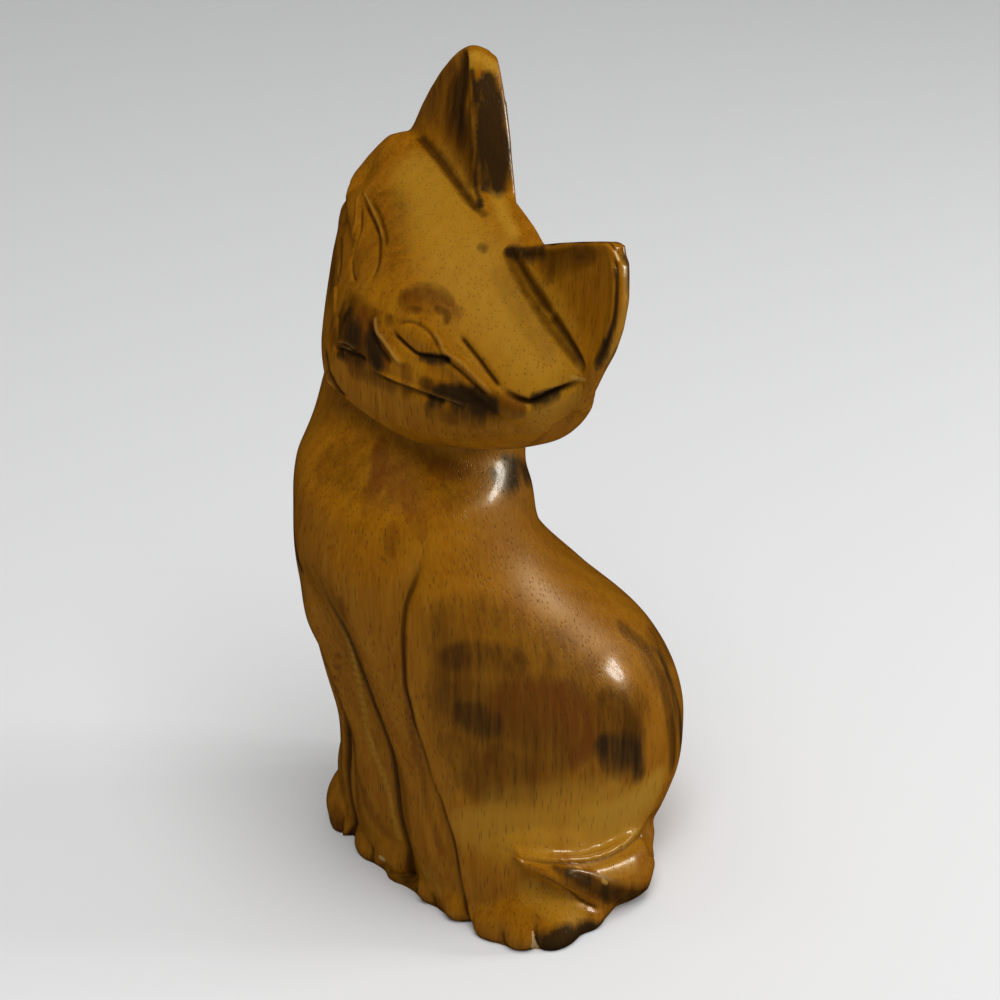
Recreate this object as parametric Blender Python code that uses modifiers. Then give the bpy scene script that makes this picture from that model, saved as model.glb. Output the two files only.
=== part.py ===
"""Seated cat with a tilted head, carved from two blocks of one wood and pinned at the neck.

Metres, +Z up. The cat looks along -Y and its left side is +X. The origin is on the floor,
under the middle of the foot. The head has a frame of its own, whose local X runs to the
cat's left, local Y to the back of the head and local Z to the crown.
"""

import math
from collections import namedtuple

import bmesh
import bpy
from mathutils import Euler, Matrix, Vector
from mathutils.bvhtree import BVHTree

# Trunk: level sections from the foot to the chest
FOOT_WIDTH = 0.077
FOOT_DEPTH = 0.059
FOOT_MIDDLE = -0.0035
FOOT_SQUARENESS = 3.2
HOCK_HEIGHT = 0.020
HOCK_DEPTH = 0.0784
HOCK_MIDDLE = 0.0016
HOCK_SQUARENESS = 2.85
RUMP_HEIGHT = 0.040
RUMP_WIDTH = 0.080
RUMP_DEPTH = 0.087
RUMP_MIDDLE = 0.0036
RUMP_SQUARENESS = 2.45
LOIN_HEIGHT = 0.060
LOIN_WIDTH = 0.0764
LOIN_DEPTH = 0.0864
LOIN_MIDDLE = -0.0030
LOIN_SQUARENESS = 2.2
WAIST_HEIGHT = 0.081
WAIST_WIDTH = 0.0646
WAIST_DEPTH = 0.0734
WAIST_MIDDLE = -0.0159
CHEST_HEIGHT = 0.099
CHEST_WIDTH = 0.0536
CHEST_DEPTH = 0.0616
CHEST_MIDDLE = -0.0253
CHEST_SHIFT = -0.0007
SHOULDER_HEIGHT = 0.113
SHOULDER_WIDTH = 0.0508
SHOULDER_DEPTH = 0.0568
SHOULDER_MIDDLE = -0.0257
SHOULDER_SHIFT = -0.0034
ROUND_SQUARENESS = 2.1

# Neck, where the head block sits on the body block
NECK_WIDTH = 0.050
NECK_DEPTH = 0.0495
NECK_SETBACK = 0.0010
SEAT_GAP = 0.0003

# Head frame: its middle, and how the head is turned from looking straight ahead
HEAD_MIDDLE = Vector((0.0013, -0.0126, 0.1565))
HEAD_NOD = math.radians(-7.4)
HEAD_TILT = math.radians(23.8)
HEAD_TURN = math.radians(-8.4)

# Head block, in its own frame
SEAT_DROP = 0.020
JAW_WIDTH = 0.072
JAW_DROP = 0.012
CHEEK_WIDTH = 0.084
TEMPLE_WIDTH = 0.088
TEMPLE_RISE = 0.014
CROWN_RISE = 0.0235
CROWN_WIDTH = 0.081
NOSE_REACH = 0.0318
NAPE_REACH = 0.024
FACE_WALL = 0.036
SKULL_MIDDLE = -0.0065
FACE_SLOPE = 0.455
BROW_DROOP = 0.19
BROW_START = -0.002
BROW_BLEND = 0.012
BROW_FLAT = 0.0057
BROW_SHIFT = 0.0018
CRANIUM_OFFSET = Vector((0.0, 0.004, 0.001))
CRANIUM_RADII = Vector((0.036, 0.018, 0.020))

# Ears: thick at the inner edge, thin at the round outer edge
EAR_HEIGHT = 0.0476
EAR_SPREAD = 0.0440
EAR_FRONT_INNER = 0.0010
EAR_FRONT_OUTER = 0.0028
EAR_BACK_INNER = 0.0098
EAR_BACK_OUTER = 0.0080
EAR_BEVEL = 0.0016

# Haunches, hind paws and tail
HAUNCH_RADII = Vector((0.0215, 0.033, 0.035))
HAUNCH_OFFSET = Vector((0.0185, -0.001, 0.040))
SHANK_RADII = Vector((0.0130, 0.0200, 0.0240))
SHANK_OFFSET = Vector((0.0265, -0.0115, 0.0180))
PAW_RADII = Vector((0.0138, 0.0208, 0.0130))
PAW_OFFSET = Vector((0.0324, -0.0106, 0.0040))
TAIL_SIDE = 0.0420
TAIL_BACK = 0.0340
TAIL_HALF_HEIGHT = 0.0092
TAIL_HALF_THICKNESS = 0.0064
TAIL_SQUARENESS = 1.5

# Hidden round pin between the two blocks
DOWEL_RADIUS = 0.006
DOWEL_LENGTH = 0.040
DOWEL_CLEARANCE = 0.0003

# Tool marks
LEG_GOUGE_WIDTH = 0.011
LEG_GOUGE_DEPTH = 0.0055
HAUNCH_GOUGE_WIDTH = 0.0065
HAUNCH_GOUGE_DEPTH = 0.0024
TOE_NOTCH_HEIGHT = 0.006
TOE_NOTCH_WIDTH = 0.0036
TOE_NOTCH_DEPTH = 0.0018
CHEEK_GOUGE_WIDTH = 0.003
CHEEK_GOUGE_DEPTH = 0.0016

# Fineness of the carved surface
BODY_VOXEL = 0.0016
HEAD_VOXEL = 0.0011
BODY_SMOOTHING = 7
HEAD_SMOOTHING = 5
BODY_KEEP = 0.14
HEAD_KEEP = 0.11
RING_SIDES = 64
OVERCUT = 0.010
TOOL_REACH = 0.100
MILLIMETRE = 0.001

Section = namedtuple("Section", "height x y half_width half_depth squareness")
Crown = namedtuple("Crown", "height half_width wall back squareness front slope")
EarRing = namedtuple("EarRing", "height front_inner back_inner outer")

WOOD_COLOUR = (0.23, 0.098, 0.012, 1.0)
PIN_COLOUR = (0.52, 0.34, 0.16, 1.0)


def clear_scene():
    for item in list(bpy.data.objects):
        bpy.data.objects.remove(item, do_unlink=True)


def collection(name):
    group = bpy.data.collections.new(name)
    bpy.context.scene.collection.children.link(group)
    return group


def wood(name, colour, roughness):
    material = bpy.data.materials.new(name)
    material.use_nodes = True
    shader = material.node_tree.nodes["Principled BSDF"]
    shader.inputs["Base Color"].default_value = colour
    shader.inputs["Roughness"].default_value = roughness
    shader.inputs["Metallic"].default_value = 0.0
    return material


def mm(*values):
    return Vector(values) * MILLIMETRE


def head_frame():
    turn = Euler((HEAD_NOD, HEAD_TILT, HEAD_TURN), "XYZ").to_matrix().to_4x4()
    return Matrix.Translation(HEAD_MIDDLE) @ turn


def between(stations, height):
    """Values at a height, read smoothly between the stations on either side of it."""
    height = min(max(height, stations[0][0]), stations[-1][0])
    upper = next(i for i in range(1, len(stations)) if stations[i][0] >= height)
    low, high = stations[upper - 1], stations[upper]
    before = stations[max(upper - 2, 0)]
    after = stations[min(upper + 1, len(stations) - 1)]
    span = high[0] - low[0]
    t = (height - low[0]) / span
    values = [height]
    for i in range(1, len(low)):
        start = (high[i] - before[i]) / (high[0] - before[0]) * span
        end = (after[i] - low[i]) / (after[0] - low[0]) * span
        blend = (2 * t**3 - 3 * t**2 + 1) * low[i] + (t**3 - 2 * t**2 + t) * start
        values.append(blend + (3 * t**2 - 2 * t**3) * high[i] + (t**3 - t**2) * end)
    return type(low)(*values)


def reach(angle, half_width, half_depth, squareness):
    """Distance from the middle of a superellipse to its edge."""
    across = abs(math.sin(angle) / half_width) ** squareness
    along = abs(math.cos(angle) / half_depth) ** squareness
    return (across + along) ** (-1.0 / squareness)


def add_loft(bm, rings):
    """Skin a closed tube over rings of points that run anticlockwise seen from above."""
    loops = [[bm.verts.new(point) for point in ring] for ring in rings]
    count = len(loops[0])
    for lower, upper in zip(loops[:-1], loops[1:]):
        for i in range(count):
            j = (i + 1) % count
            bm.faces.new((lower[i], lower[j], upper[j], upper[i]))
    bm.faces.new(list(reversed(loops[0])))
    bm.faces.new(loops[-1])


def add_ball(bm, middle, radii):
    place = Matrix.Translation(middle) @ Matrix.Diagonal((*radii, 1.0))
    bmesh.ops.create_uvsphere(bm, u_segments=40, v_segments=24, radius=1.0, matrix=place)


def new_object(name, bm, group, material=None):
    mesh = bpy.data.meshes.new(name)
    bmesh.ops.recalc_face_normals(bm, faces=bm.faces)
    bm.to_mesh(mesh)
    bm.free()
    item = bpy.data.objects.new(name, mesh)
    group.objects.link(item)
    if material:
        mesh.materials.append(material)
    return item


def cutter(name, bm, group, frame=None):
    item = new_object(name, bm, group)
    item.matrix_world = frame or Matrix.Identity(4)
    item.display_type = "WIRE"
    item.hide_render = True
    return item


def cut(target, tool, crossing=False):
    """Cut one object with a tool, whose own masses may cross each other."""
    boolean = target.modifiers.new("Cut " + tool.name, "BOOLEAN")
    boolean.operation = "DIFFERENCE"
    boolean.solver = "EXACT"
    boolean.use_self = crossing
    boolean.object = tool


def carve_smooth(item, voxel, rounds, keep):
    """Merge the overlapping masses into one rounded skin and thin out its facets."""
    remesh = item.modifiers.new("Merge masses", "REMESH")
    remesh.mode = "VOXEL"
    remesh.voxel_size = voxel
    smooth = item.modifiers.new("Round over", "SMOOTH")
    smooth.factor = 0.5
    smooth.iterations = rounds
    thin = item.modifiers.new("Fewer facets", "DECIMATE")
    thin.ratio = keep


def box_bmesh(lower, upper):
    bm = bmesh.new()
    size = upper - lower
    place = Matrix.Translation((lower + upper) / 2) @ Matrix.Diagonal((*size, 1.0))
    bmesh.ops.create_cube(bm, size=1.0, matrix=place)
    return bm


def skin_of(item):
    """The surface of an object as its modifiers leave it, for tools to follow."""
    bpy.context.view_layer.update()
    return BVHTree.FromObject(item, bpy.context.evaluated_depsgraph_get())


def add_v_cut(bm, places, width, depth):
    """V cut along places, each a point and its outward direction, that starts from nothing."""
    rings = []
    for i, (point, normal) in enumerate(places):
        ahead = places[min(i + 1, len(places) - 1)][0]
        behind = places[max(i - 1, 0)][0]
        side = (ahead - behind).cross(normal).normalized()
        fullness = min(1.0, 0.2 + 0.25 * i)
        across = side * width / 2 * fullness
        down = normal * depth * fullness
        rings.append((point + across, point + down, point - across, point - down))
    add_loft(bm, rings)


def curve_through(points, steps):
    """Smooth run of points through the given ones, with a number of steps between each two."""
    padded = [2 * points[0] - points[1], *points, 2 * points[-1] - points[-2]]
    run = []
    for a, b, c, d in zip(padded[:-3], padded[1:-2], padded[2:-1], padded[3:]):
        for step in range(steps):
            t = step / steps
            bend = (2 * a - 5 * b + 4 * c - d) * t**2 + (3 * b - a - 3 * c + d) * t**3
            run.append((2 * b + (c - a) * t + bend) / 2)
    run.append(points[-1])
    return run


def evened(values, rounds):
    """The same run with each inner value moved to the mean of itself and its neighbours."""
    for _ in range(rounds):
        inner = [(a + b + c) / 3 for a, b, c in zip(values[:-2], values[1:-1], values[2:])]
        values = [values[0], *inner, values[-1]]
    return values


def add_gouge(bm, skin, aims, outward, width, depth):
    """V cut that follows the skin past the aims and is sunk against one outward direction."""
    points = evened([skin.find_nearest(aim)[0] for aim in curve_through(aims, 3)], 3)
    places = [(point, outward.normalized()) for point in points]
    add_v_cut(bm, places, width, depth)


def add_toe_notch(bm, skin, aim):
    """Short upright V cut that runs down to the floor between two toes."""
    point, normal = skin.find_nearest(aim)[:2]
    outward = Vector((normal.x, normal.y, 0.0)).normalized()
    top = point + Vector((0.0, 0.0, TOE_NOTCH_HEIGHT - aim.z))
    bottom = point - Vector((0.0, 0.0, aim.z + OVERCUT / 2))
    middle = (point + top) / 2
    places = [(spot, outward) for spot in (top, middle, point, bottom)]
    add_v_cut(bm, places, TOE_NOTCH_WIDTH, TOE_NOTCH_DEPTH)


def section(height, x, y, width, depth, squareness):
    return Section(height, x, y, width / 2, depth / 2, squareness)


def trunk_sections():
    """Level sections from under the floor up to the shoulders."""
    return (
        section(-OVERCUT, 0.0, FOOT_MIDDLE, FOOT_WIDTH, FOOT_DEPTH, FOOT_SQUARENESS),
        section(0.0, 0.0, FOOT_MIDDLE, FOOT_WIDTH, FOOT_DEPTH, FOOT_SQUARENESS),
        section(HOCK_HEIGHT, 0.0, HOCK_MIDDLE, FOOT_WIDTH, HOCK_DEPTH, HOCK_SQUARENESS),
        section(RUMP_HEIGHT, 0.0, RUMP_MIDDLE, RUMP_WIDTH, RUMP_DEPTH, RUMP_SQUARENESS),
        section(LOIN_HEIGHT, 0.0, LOIN_MIDDLE, LOIN_WIDTH, LOIN_DEPTH, LOIN_SQUARENESS),
        section(WAIST_HEIGHT, 0.0, WAIST_MIDDLE, WAIST_WIDTH, WAIST_DEPTH, ROUND_SQUARENESS),
        section(CHEST_HEIGHT, CHEST_SHIFT, CHEST_MIDDLE, CHEST_WIDTH, CHEST_DEPTH, ROUND_SQUARENESS),
        section(
            SHOULDER_HEIGHT,
            SHOULDER_SHIFT,
            SHOULDER_MIDDLE,
            SHOULDER_WIDTH,
            SHOULDER_DEPTH,
            ROUND_SQUARENESS,
        ),
    )


def level_ring(section):
    ring = []
    for side in range(RING_SIDES):
        angle = 2 * math.pi * side / RING_SIDES
        radius = reach(angle, section.half_width, section.half_depth, section.squareness)
        x = section.x + radius * math.sin(angle)
        y = section.y - radius * math.cos(angle)
        ring.append(Vector((x, y, section.height)))
    return ring


def neck_ring(height):
    """Outline of the neck where it meets the head block, square to the head's own axis."""
    frame = head_frame()
    ring = []
    for side in range(RING_SIDES):
        angle = 2 * math.pi * side / RING_SIDES
        radius = reach(angle, NECK_WIDTH / 2, NECK_DEPTH / 2, ROUND_SQUARENESS)
        x = radius * math.sin(angle)
        y = NECK_SETBACK - radius * math.cos(angle)
        ring.append(frame @ Vector((x, y, height)))
    return ring


def add_trunk(bm):
    """Level rings up to the shoulders, then rings that lean over to the tilted neck."""
    sections = trunk_sections()
    bottom, top = sections[0].height, sections[-1].height
    steps = 32
    rise = (top - bottom) / steps
    rings = [level_ring(between(sections, bottom + rise * step)) for step in range(steps + 1)]
    shoulder, below = rings[-1], rings[-2]
    seat = neck_ring(-SEAT_DROP)
    above = neck_ring(-SEAT_DROP + OVERCUT)
    neck_steps = 10
    for step in range(1, neck_steps):
        t = step / neck_steps
        ring = []
        for start, under, end, over in zip(shoulder, below, seat, above):
            length = (end - start).length
            leaving = (start - under).normalized() * length
            arriving = (over - end).normalized() * length
            point = (2 * t**3 - 3 * t**2 + 1) * start + (t**3 - 2 * t**2 + t) * leaving
            ring.append(point + (3 * t**2 - 2 * t**3) * end + (t**3 - t**2) * arriving)
        rings.append(ring)
    add_loft(bm, rings + [seat, above])


def add_hind_legs(bm):
    """Haunch, shank and paw on both sides, each a ball that melts into the trunk."""
    masses = ((HAUNCH_OFFSET, HAUNCH_RADII), (SHANK_OFFSET, SHANK_RADII), (PAW_OFFSET, PAW_RADII))
    for side in (-1, 1):
        for offset, radii in masses:
            add_ball(bm, Vector((side * offset.x, offset.y, offset.z)), radii)


def add_blade(bm, path, squareness):
    """Leaf with a ridge: each station has a place, a half height and a half thickness."""
    rings = []
    for i, (place, half_height, half_thickness) in enumerate(path):
        ahead = path[min(i + 1, len(path) - 1)][0]
        behind = path[max(i - 1, 0)][0]
        run = (ahead - behind).normalized()
        outward = run.cross(Vector((0.0, 0.0, 1.0))).normalized()
        rise = outward.cross(run).normalized()
        ring = []
        for side in range(RING_SIDES):
            angle = 2 * math.pi * side / RING_SIDES
            radius = reach(angle, half_height, half_thickness, squareness)
            ring.append(place + outward * radius * math.cos(angle) + rise * radius * math.sin(angle))
        rings.append(ring)
    add_loft(bm, rings)


def add_tail(bm):
    """The tail leaves the back, hugs the left foot and ends in a raised leaf."""
    side, back = TAIL_SIDE, TAIL_BACK
    high, thick = TAIL_HALF_HEIGHT, TAIL_HALF_THICKNESS
    path = (
        (Vector((-side * 0.34, back * 0.94, high * 0.65)), high * 0.5, thick * 0.5),
        (Vector((0.0, back, high * 0.75)), high * 0.65, thick * 0.75),
        (Vector((side * 0.38, back * 0.88, high * 0.85)), high * 0.85, thick * 0.8),
        (Vector((side * 0.68, back * 0.59, high * 0.85)), high, thick * 1.05),
        (Vector((side * 0.89, back * 0.35, high * 0.85)), high * 1.08, thick * 1.05),
        (Vector((side * 0.975, back * 0.15, high * 0.94)), high, thick),
        (Vector((side, back * -0.09, high * 1.17)), high * 0.92, thick * 0.86),
        (Vector((side, back * -0.29, high * 1.61)), high * 0.67, thick * 0.80),
        (Vector((side * 0.99, back * -0.47, high * 2.06)), high * 0.47, thick * 0.76),
        (Vector((side * 0.96, back * -0.62, high * 2.40)), high * 0.29, thick * 0.54),
        (Vector((side * 0.90, back * -0.77, high * 2.80)), high * 0.08, thick * 0.26),
    )
    add_blade(bm, path, TAIL_SQUARENESS)


def leg_gouge_aims():
    """Aims on the front of the body: between the forelegs, and outside the left one."""
    middle = (
        mm(-5, -56, 107),
        mm(-2, -56, 96),
        mm(0, -51, 75),
        mm(0, -43, 48),
        mm(0, -38, 22),
        mm(0, -36, -4),
    )
    outer = (
        mm(20.5, -39, 112),
        mm(22, -43, 105),
        mm(23, -46, 96),
        mm(22, -47, 80),
        mm(19.5, -43, 62),
        mm(19, -39, 50),
        mm(20, -36, 37),
        mm(22.5, -35, 26),
        mm(24, -34, 12),
        mm(25, -33, -4),
    )
    return middle, outer


def toe_notch_aims():
    """Aims between the toes of the foreleg and the hind paw."""
    return mm(7.6, -36, 3), mm(14.5, -35, 3), mm(31, -31, 3), mm(37.5, -29, 3), mm(44, -25, 3)


def mirrored(aims, side):
    return [Vector((side * aim.x, aim.y, aim.z)) for aim in aims]


def seat_tool_bmesh(face, direction):
    """Block that clears one side of the seat plane, in the head frame."""
    far = face + direction * TOOL_REACH
    lower, upper = sorted((face, far))
    return box_bmesh(Vector((-TOOL_REACH, -TOOL_REACH, lower)), Vector((TOOL_REACH, TOOL_REACH, upper)))


def bore_bmesh():
    bm = bmesh.new()
    middle = Vector((0.0, NECK_SETBACK, -SEAT_DROP))
    bmesh.ops.create_cone(
        bm,
        cap_ends=True,
        segments=48,
        radius1=DOWEL_RADIUS + DOWEL_CLEARANCE,
        radius2=DOWEL_RADIUS + DOWEL_CLEARANCE,
        depth=DOWEL_LENGTH + 2 * DOWEL_CLEARANCE,
        matrix=Matrix.Translation(middle),
    )
    return bm


def make_body(group, cutters, material):
    bm = bmesh.new()
    add_trunk(bm)
    add_hind_legs(bm)
    add_tail(bm)
    body = new_object("body", bm, group, material)
    carve_smooth(body, BODY_VOXEL, BODY_SMOOTHING, BODY_KEEP)
    skin = skin_of(body)

    floor = box_bmesh(Vector((-TOOL_REACH, -TOOL_REACH, -TOOL_REACH)), Vector((TOOL_REACH, TOOL_REACH, 0.0)))
    cut(body, cutter("floor_plane", floor, cutters))
    seat = seat_tool_bmesh(-SEAT_DROP - SEAT_GAP / 2, 1)
    cut(body, cutter("neck_seat_plane", seat, cutters, head_frame()))
    cut(body, cutter("body_bore", bore_bmesh(), cutters, head_frame()))

    marks = bmesh.new()
    middle, outer = leg_gouge_aims()
    add_gouge(marks, skin, middle, Vector((0.0, -1.0, 0.0)), LEG_GOUGE_WIDTH, LEG_GOUGE_DEPTH)
    for side in (-1, 1):
        outward = Vector((side * 0.4, -1.0, 0.0))
        add_gouge(marks, skin, mirrored(outer, side), outward, HAUNCH_GOUGE_WIDTH, HAUNCH_GOUGE_DEPTH)
        for aim in mirrored(toe_notch_aims(), side):
            add_toe_notch(marks, skin, aim)
    cut(body, cutter("body_gouges", marks, cutters), crossing=True)
    return body


def skull_stations():
    """Plan of the head by height: side walls, back, and the two facets of the face."""
    jaw = JAW_WIDTH / 2
    cheek = CHEEK_WIDTH / 2
    temple = TEMPLE_WIDTH / 2
    crown = CROWN_WIDTH / 2
    neck = NECK_WIDTH / 2
    nose, nape, wall, slope = NOSE_REACH, NAPE_REACH, FACE_WALL, FACE_SLOPE
    return (
        Crown(-SEAT_DROP - OVERCUT, neck, wall * 0.83, nape, 2.1, nose * 0.94, slope),
        Crown(-SEAT_DROP, neck * 1.11, wall * 0.94, nape, 2.2, nose * 1.02, slope),
        Crown(-JAW_DROP, jaw, wall, nape, 2.5, nose, slope),
        Crown(-JAW_DROP * 0.42, cheek * 0.952, wall, nape * 0.958, 2.7, nose, slope),
        Crown(0.0, cheek, wall, nape * 0.917, 2.7, nose * 0.962, slope * 0.99),
        Crown(TEMPLE_RISE * 0.25, cheek * 1.012, wall, nape * 0.833, 2.7, nose * 0.912, slope * 0.95),
        Crown(TEMPLE_RISE * 0.50, temple * 0.986, wall, nape * 0.79, 2.7, nose * 0.843, slope * 0.73),
        Crown(TEMPLE_RISE * 0.77, temple, wall, nape * 0.708, 2.7, nose * 0.739, slope * 0.55),
        Crown(TEMPLE_RISE * 1.14, temple, wall * 0.944, nape * 0.583, 2.7, nose * 0.503, slope * 0.38),
        Crown(CROWN_RISE * 0.85, crown * 1.05, wall * 0.833, nape * 0.479, 2.5, nose * 0.292, slope * 0.25),
        Crown(CROWN_RISE, crown, wall * 0.778, nape * 0.396, 2.4, nose * 0.088, slope * 0.17),
        Crown(CROWN_RISE * 1.106, crown * 0.9, wall * 0.722, nape * 0.333, 2.4, nose * -0.085, slope * 0.1),
    )


def add_skull(bm):
    stations = skull_stations()
    bottom, top = stations[0].height, stations[-1].height
    steps = 28
    rings = []
    for step in range(steps + 1):
        level = between(stations, bottom + (top - bottom) * step / steps)
        share = min(max((level.height - BROW_START) / BROW_BLEND, 0.0), 1.0)
        ring = []
        for side in range(RING_SIDES):
            angle = 2 * math.pi * side / RING_SIDES
            ahead = math.cos(angle)
            depth = level.wall - SKULL_MIDDLE if ahead > 0 else level.back + SKULL_MIDDLE
            wall = reach(angle, level.half_width, depth, level.squareness)
            slant = ahead + level.slope * abs(math.sin(angle))
            facet = (level.front - SKULL_MIDDLE) / slant if slant > 0.05 else 2 * TOOL_REACH
            radius = (wall**-12 + facet**-12) ** (-1 / 12)
            x = radius * math.sin(angle)
            forward = SKULL_MIDDLE + radius * ahead
            drop = BROW_DROOP * share * max(abs(x) - BROW_FLAT, 0.0)
            x -= BROW_SHIFT * share
            ring.append((x, -forward, level.height - drop))
        rings.append(ring)
    add_loft(bm, rings)


def ear_rings(side):
    """Rings up one ear, as shares of its height and spread: front and back inner edge, outer edge."""
    if side < 0:
        return (
            EarRing(0.13, 0.185, 0.05, 1.000),
            EarRing(0.37, 0.185, 0.05, 1.000),
            EarRing(0.50, 0.27, 0.10, 0.995),
            EarRing(0.62, 0.375, 0.22, 0.978),
            EarRing(0.75, 0.465, 0.35, 0.945),
            EarRing(0.855, 0.555, 0.465, 0.905),
            EarRing(0.915, 0.61, 0.54, 0.872),
            EarRing(0.96, 0.655, 0.60, 0.842),
            EarRing(1.0, 0.695, 0.66, 0.805),
        )
    return (
        EarRing(0.13, 0.145, 0.145, 0.995),
        EarRing(0.37, 0.13, 0.13, 0.995),
        EarRing(0.50, 0.175, 0.175, 0.985),
        EarRing(0.62, 0.30, 0.305, 0.955),
        EarRing(0.75, 0.445, 0.46, 0.905),
        EarRing(0.85, 0.565, 0.585, 0.842),
        EarRing(0.91, 0.64, 0.66, 0.795),
        EarRing(0.955, 0.69, 0.70, 0.757),
    )


def bevelled(corners, size):
    """The same outline with each corner cut back along both of its edges."""
    outline = []
    for i, corner in enumerate(corners):
        before, after = corners[i - 1], corners[(i + 1) % len(corners)]
        for other in (before, after):
            share = min(0.4, size / (other - corner).length)
            outline.append(corner.lerp(other, share))
    return outline


def add_ears(bm):
    for side in (-1, 1):
        rings = []
        for ring in ear_rings(side):
            height = ring.height * EAR_HEIGHT
            outer = side * ring.outer * EAR_SPREAD
            front_inner = side * ring.front_inner * EAR_SPREAD
            back_inner = side * ring.back_inner * EAR_SPREAD
            corners = (
                Vector((front_inner, EAR_FRONT_INNER, height)),
                Vector((outer, EAR_FRONT_OUTER, height)),
                Vector((outer * 0.985, EAR_BACK_OUTER, height)),
                Vector((back_inner, EAR_BACK_INNER, height)),
            )
            rings.append(bevelled(corners, EAR_BEVEL))
        add_loft(bm, rings)


def cheek_gouge_aims():
    """Aims along the crease that runs from the root of the ear down past the eye."""
    return (
        mm(46, 3, 17),
        mm(43, -2, 12.5),
        mm(40, -7, 8.8),
        mm(37, -13, 5.2),
        mm(31.5, -16.5, 0.7),
        mm(26, -20, -2.7),
        mm(20.5, -22.5, -5.5),
        mm(13, -26.3, -9.7),
    )


def make_head(group, cutters, material):
    bm = bmesh.new()
    add_skull(bm)
    add_ball(bm, CRANIUM_OFFSET, CRANIUM_RADII)
    add_ears(bm)
    head = new_object("head", bm, group, material)
    head.matrix_world = head_frame()
    carve_smooth(head, HEAD_VOXEL, HEAD_SMOOTHING, HEAD_KEEP)
    skin = skin_of(head)

    seat = seat_tool_bmesh(-SEAT_DROP + SEAT_GAP / 2, -1)
    cut(head, cutter("head_seat_plane", seat, cutters, head_frame()))
    cut(head, cutter("head_bore", bore_bmesh(), cutters, head_frame()))
    marks = bmesh.new()
    for side in (-1, 1):
        aims = mirrored(cheek_gouge_aims(), side)
        outward = Vector((side * 0.6, -1.0, 0.0))
        add_gouge(marks, skin, aims, outward, CHEEK_GOUGE_WIDTH, CHEEK_GOUGE_DEPTH)
    cut(head, cutter("head_gouges", marks, cutters, head_frame()))
    return head


def make_dowel(group, material):
    bm = bmesh.new()
    bmesh.ops.create_cone(
        bm,
        cap_ends=True,
        segments=32,
        radius1=DOWEL_RADIUS,
        radius2=DOWEL_RADIUS,
        depth=DOWEL_LENGTH,
    )
    dowel = new_object("neck_dowel", bm, group, material)
    dowel.matrix_world = head_frame() @ Matrix.Translation((0.0, NECK_SETBACK, -SEAT_DROP))
    return dowel


def shade(item, degrees):
    item.data.shade_smooth()
    item.data.set_sharp_from_angle(angle=math.radians(degrees))


def main():
    clear_scene()
    pieces = collection("carved_cat")
    cutters = collection("carving_tools")
    varnished = wood("varnished wood", WOOD_COLOUR, 0.35)
    raw = wood("raw wood", PIN_COLOUR, 0.7)
    body = make_body(pieces, cutters, varnished)
    head = make_head(pieces, cutters, varnished)
    dowel = make_dowel(pieces, raw)
    for item in (body, head, dowel):
        shade(item, 40)


main()
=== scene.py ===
# %% [markdown]
# # A carved wooden cat
#
# The object is a hand-carved ornament, a seated cat with a tilted head. It is two blocks of one
# wood, a body and a head, glued on a hidden round pin. A carver saws the outline, rounds the
# masses, cuts gouge lines for the legs, toes, eyes and mouth, scorches the ears, nose and rump
# with a flame, rubs in a golden stain and lays gloss varnish over all of it.
#
# This lesson follows the same order: masses, planes, gouge lines, scorch and stain, varnish.

# %% Load the fixed model
import math
from collections import namedtuple

import bmesh
import bpy
import numpy as np
from mathutils import Euler, Matrix, Vector
from mathutils.bvhtree import BVHTree
from mathutils.kdtree import KDTree


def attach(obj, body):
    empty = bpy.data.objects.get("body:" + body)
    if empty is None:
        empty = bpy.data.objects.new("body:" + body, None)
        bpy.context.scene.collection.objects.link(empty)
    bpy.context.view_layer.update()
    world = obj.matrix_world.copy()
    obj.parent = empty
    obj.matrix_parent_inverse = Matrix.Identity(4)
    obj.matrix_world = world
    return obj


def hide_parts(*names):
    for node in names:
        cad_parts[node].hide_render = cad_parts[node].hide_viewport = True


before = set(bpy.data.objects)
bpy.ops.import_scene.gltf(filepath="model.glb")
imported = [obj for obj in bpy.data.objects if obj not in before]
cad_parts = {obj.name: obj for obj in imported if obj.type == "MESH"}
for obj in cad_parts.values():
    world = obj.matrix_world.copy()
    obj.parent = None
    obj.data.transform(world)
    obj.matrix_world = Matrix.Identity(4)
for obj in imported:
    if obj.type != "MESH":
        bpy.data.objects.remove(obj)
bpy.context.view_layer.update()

# %% [markdown]
# ## Sight lines
#
# Every size is in millimetres while we carve, and turns into metres only when a mesh is stored.
# A carver draws the eyes and the legs on the block by eye before cutting. We do the same: the
# camera is placed first, and a place in its square frame, 1000 units wide with y down, gives a
# sight line. Where that line meets the wood, the tool goes in. The hidden side is carved from
# the same lines, mirrored.

# %% Camera place
MM = 0.001
FRAME_UNITS = 1000.0
SENSOR, LENS, DISTANCE = 36.0, 84.6, 560.0
AZIMUTH, ELEVATION = math.radians(50), math.radians(27)
AIM = Vector((14.0, -12.0, 110.0))
BACK = Vector(
    (
        math.sin(AZIMUTH) * math.cos(ELEVATION),
        -math.cos(AZIMUTH) * math.cos(ELEVATION),
        math.sin(ELEVATION),
    )
)
RIGHT = Vector((0.0, 0.0, 1.0)).cross(BACK).normalized()
UP = BACK.cross(RIGHT)
EYE = AIM + BACK * DISTANCE
UNIT = DISTANCE * SENSOR / LENS / FRAME_UNITS


def sight(x, y):
    """Direction from the camera through a place in its frame."""
    across = (x / FRAME_UNITS - 0.5) * SENSOR
    rise = (0.5 - y / FRAME_UNITS) * SENSOR
    return (RIGHT * across + UP * rise - BACK * LENS).normalized()


print("one frame unit is", round(UNIT, 3), "mm on the cat")

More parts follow.
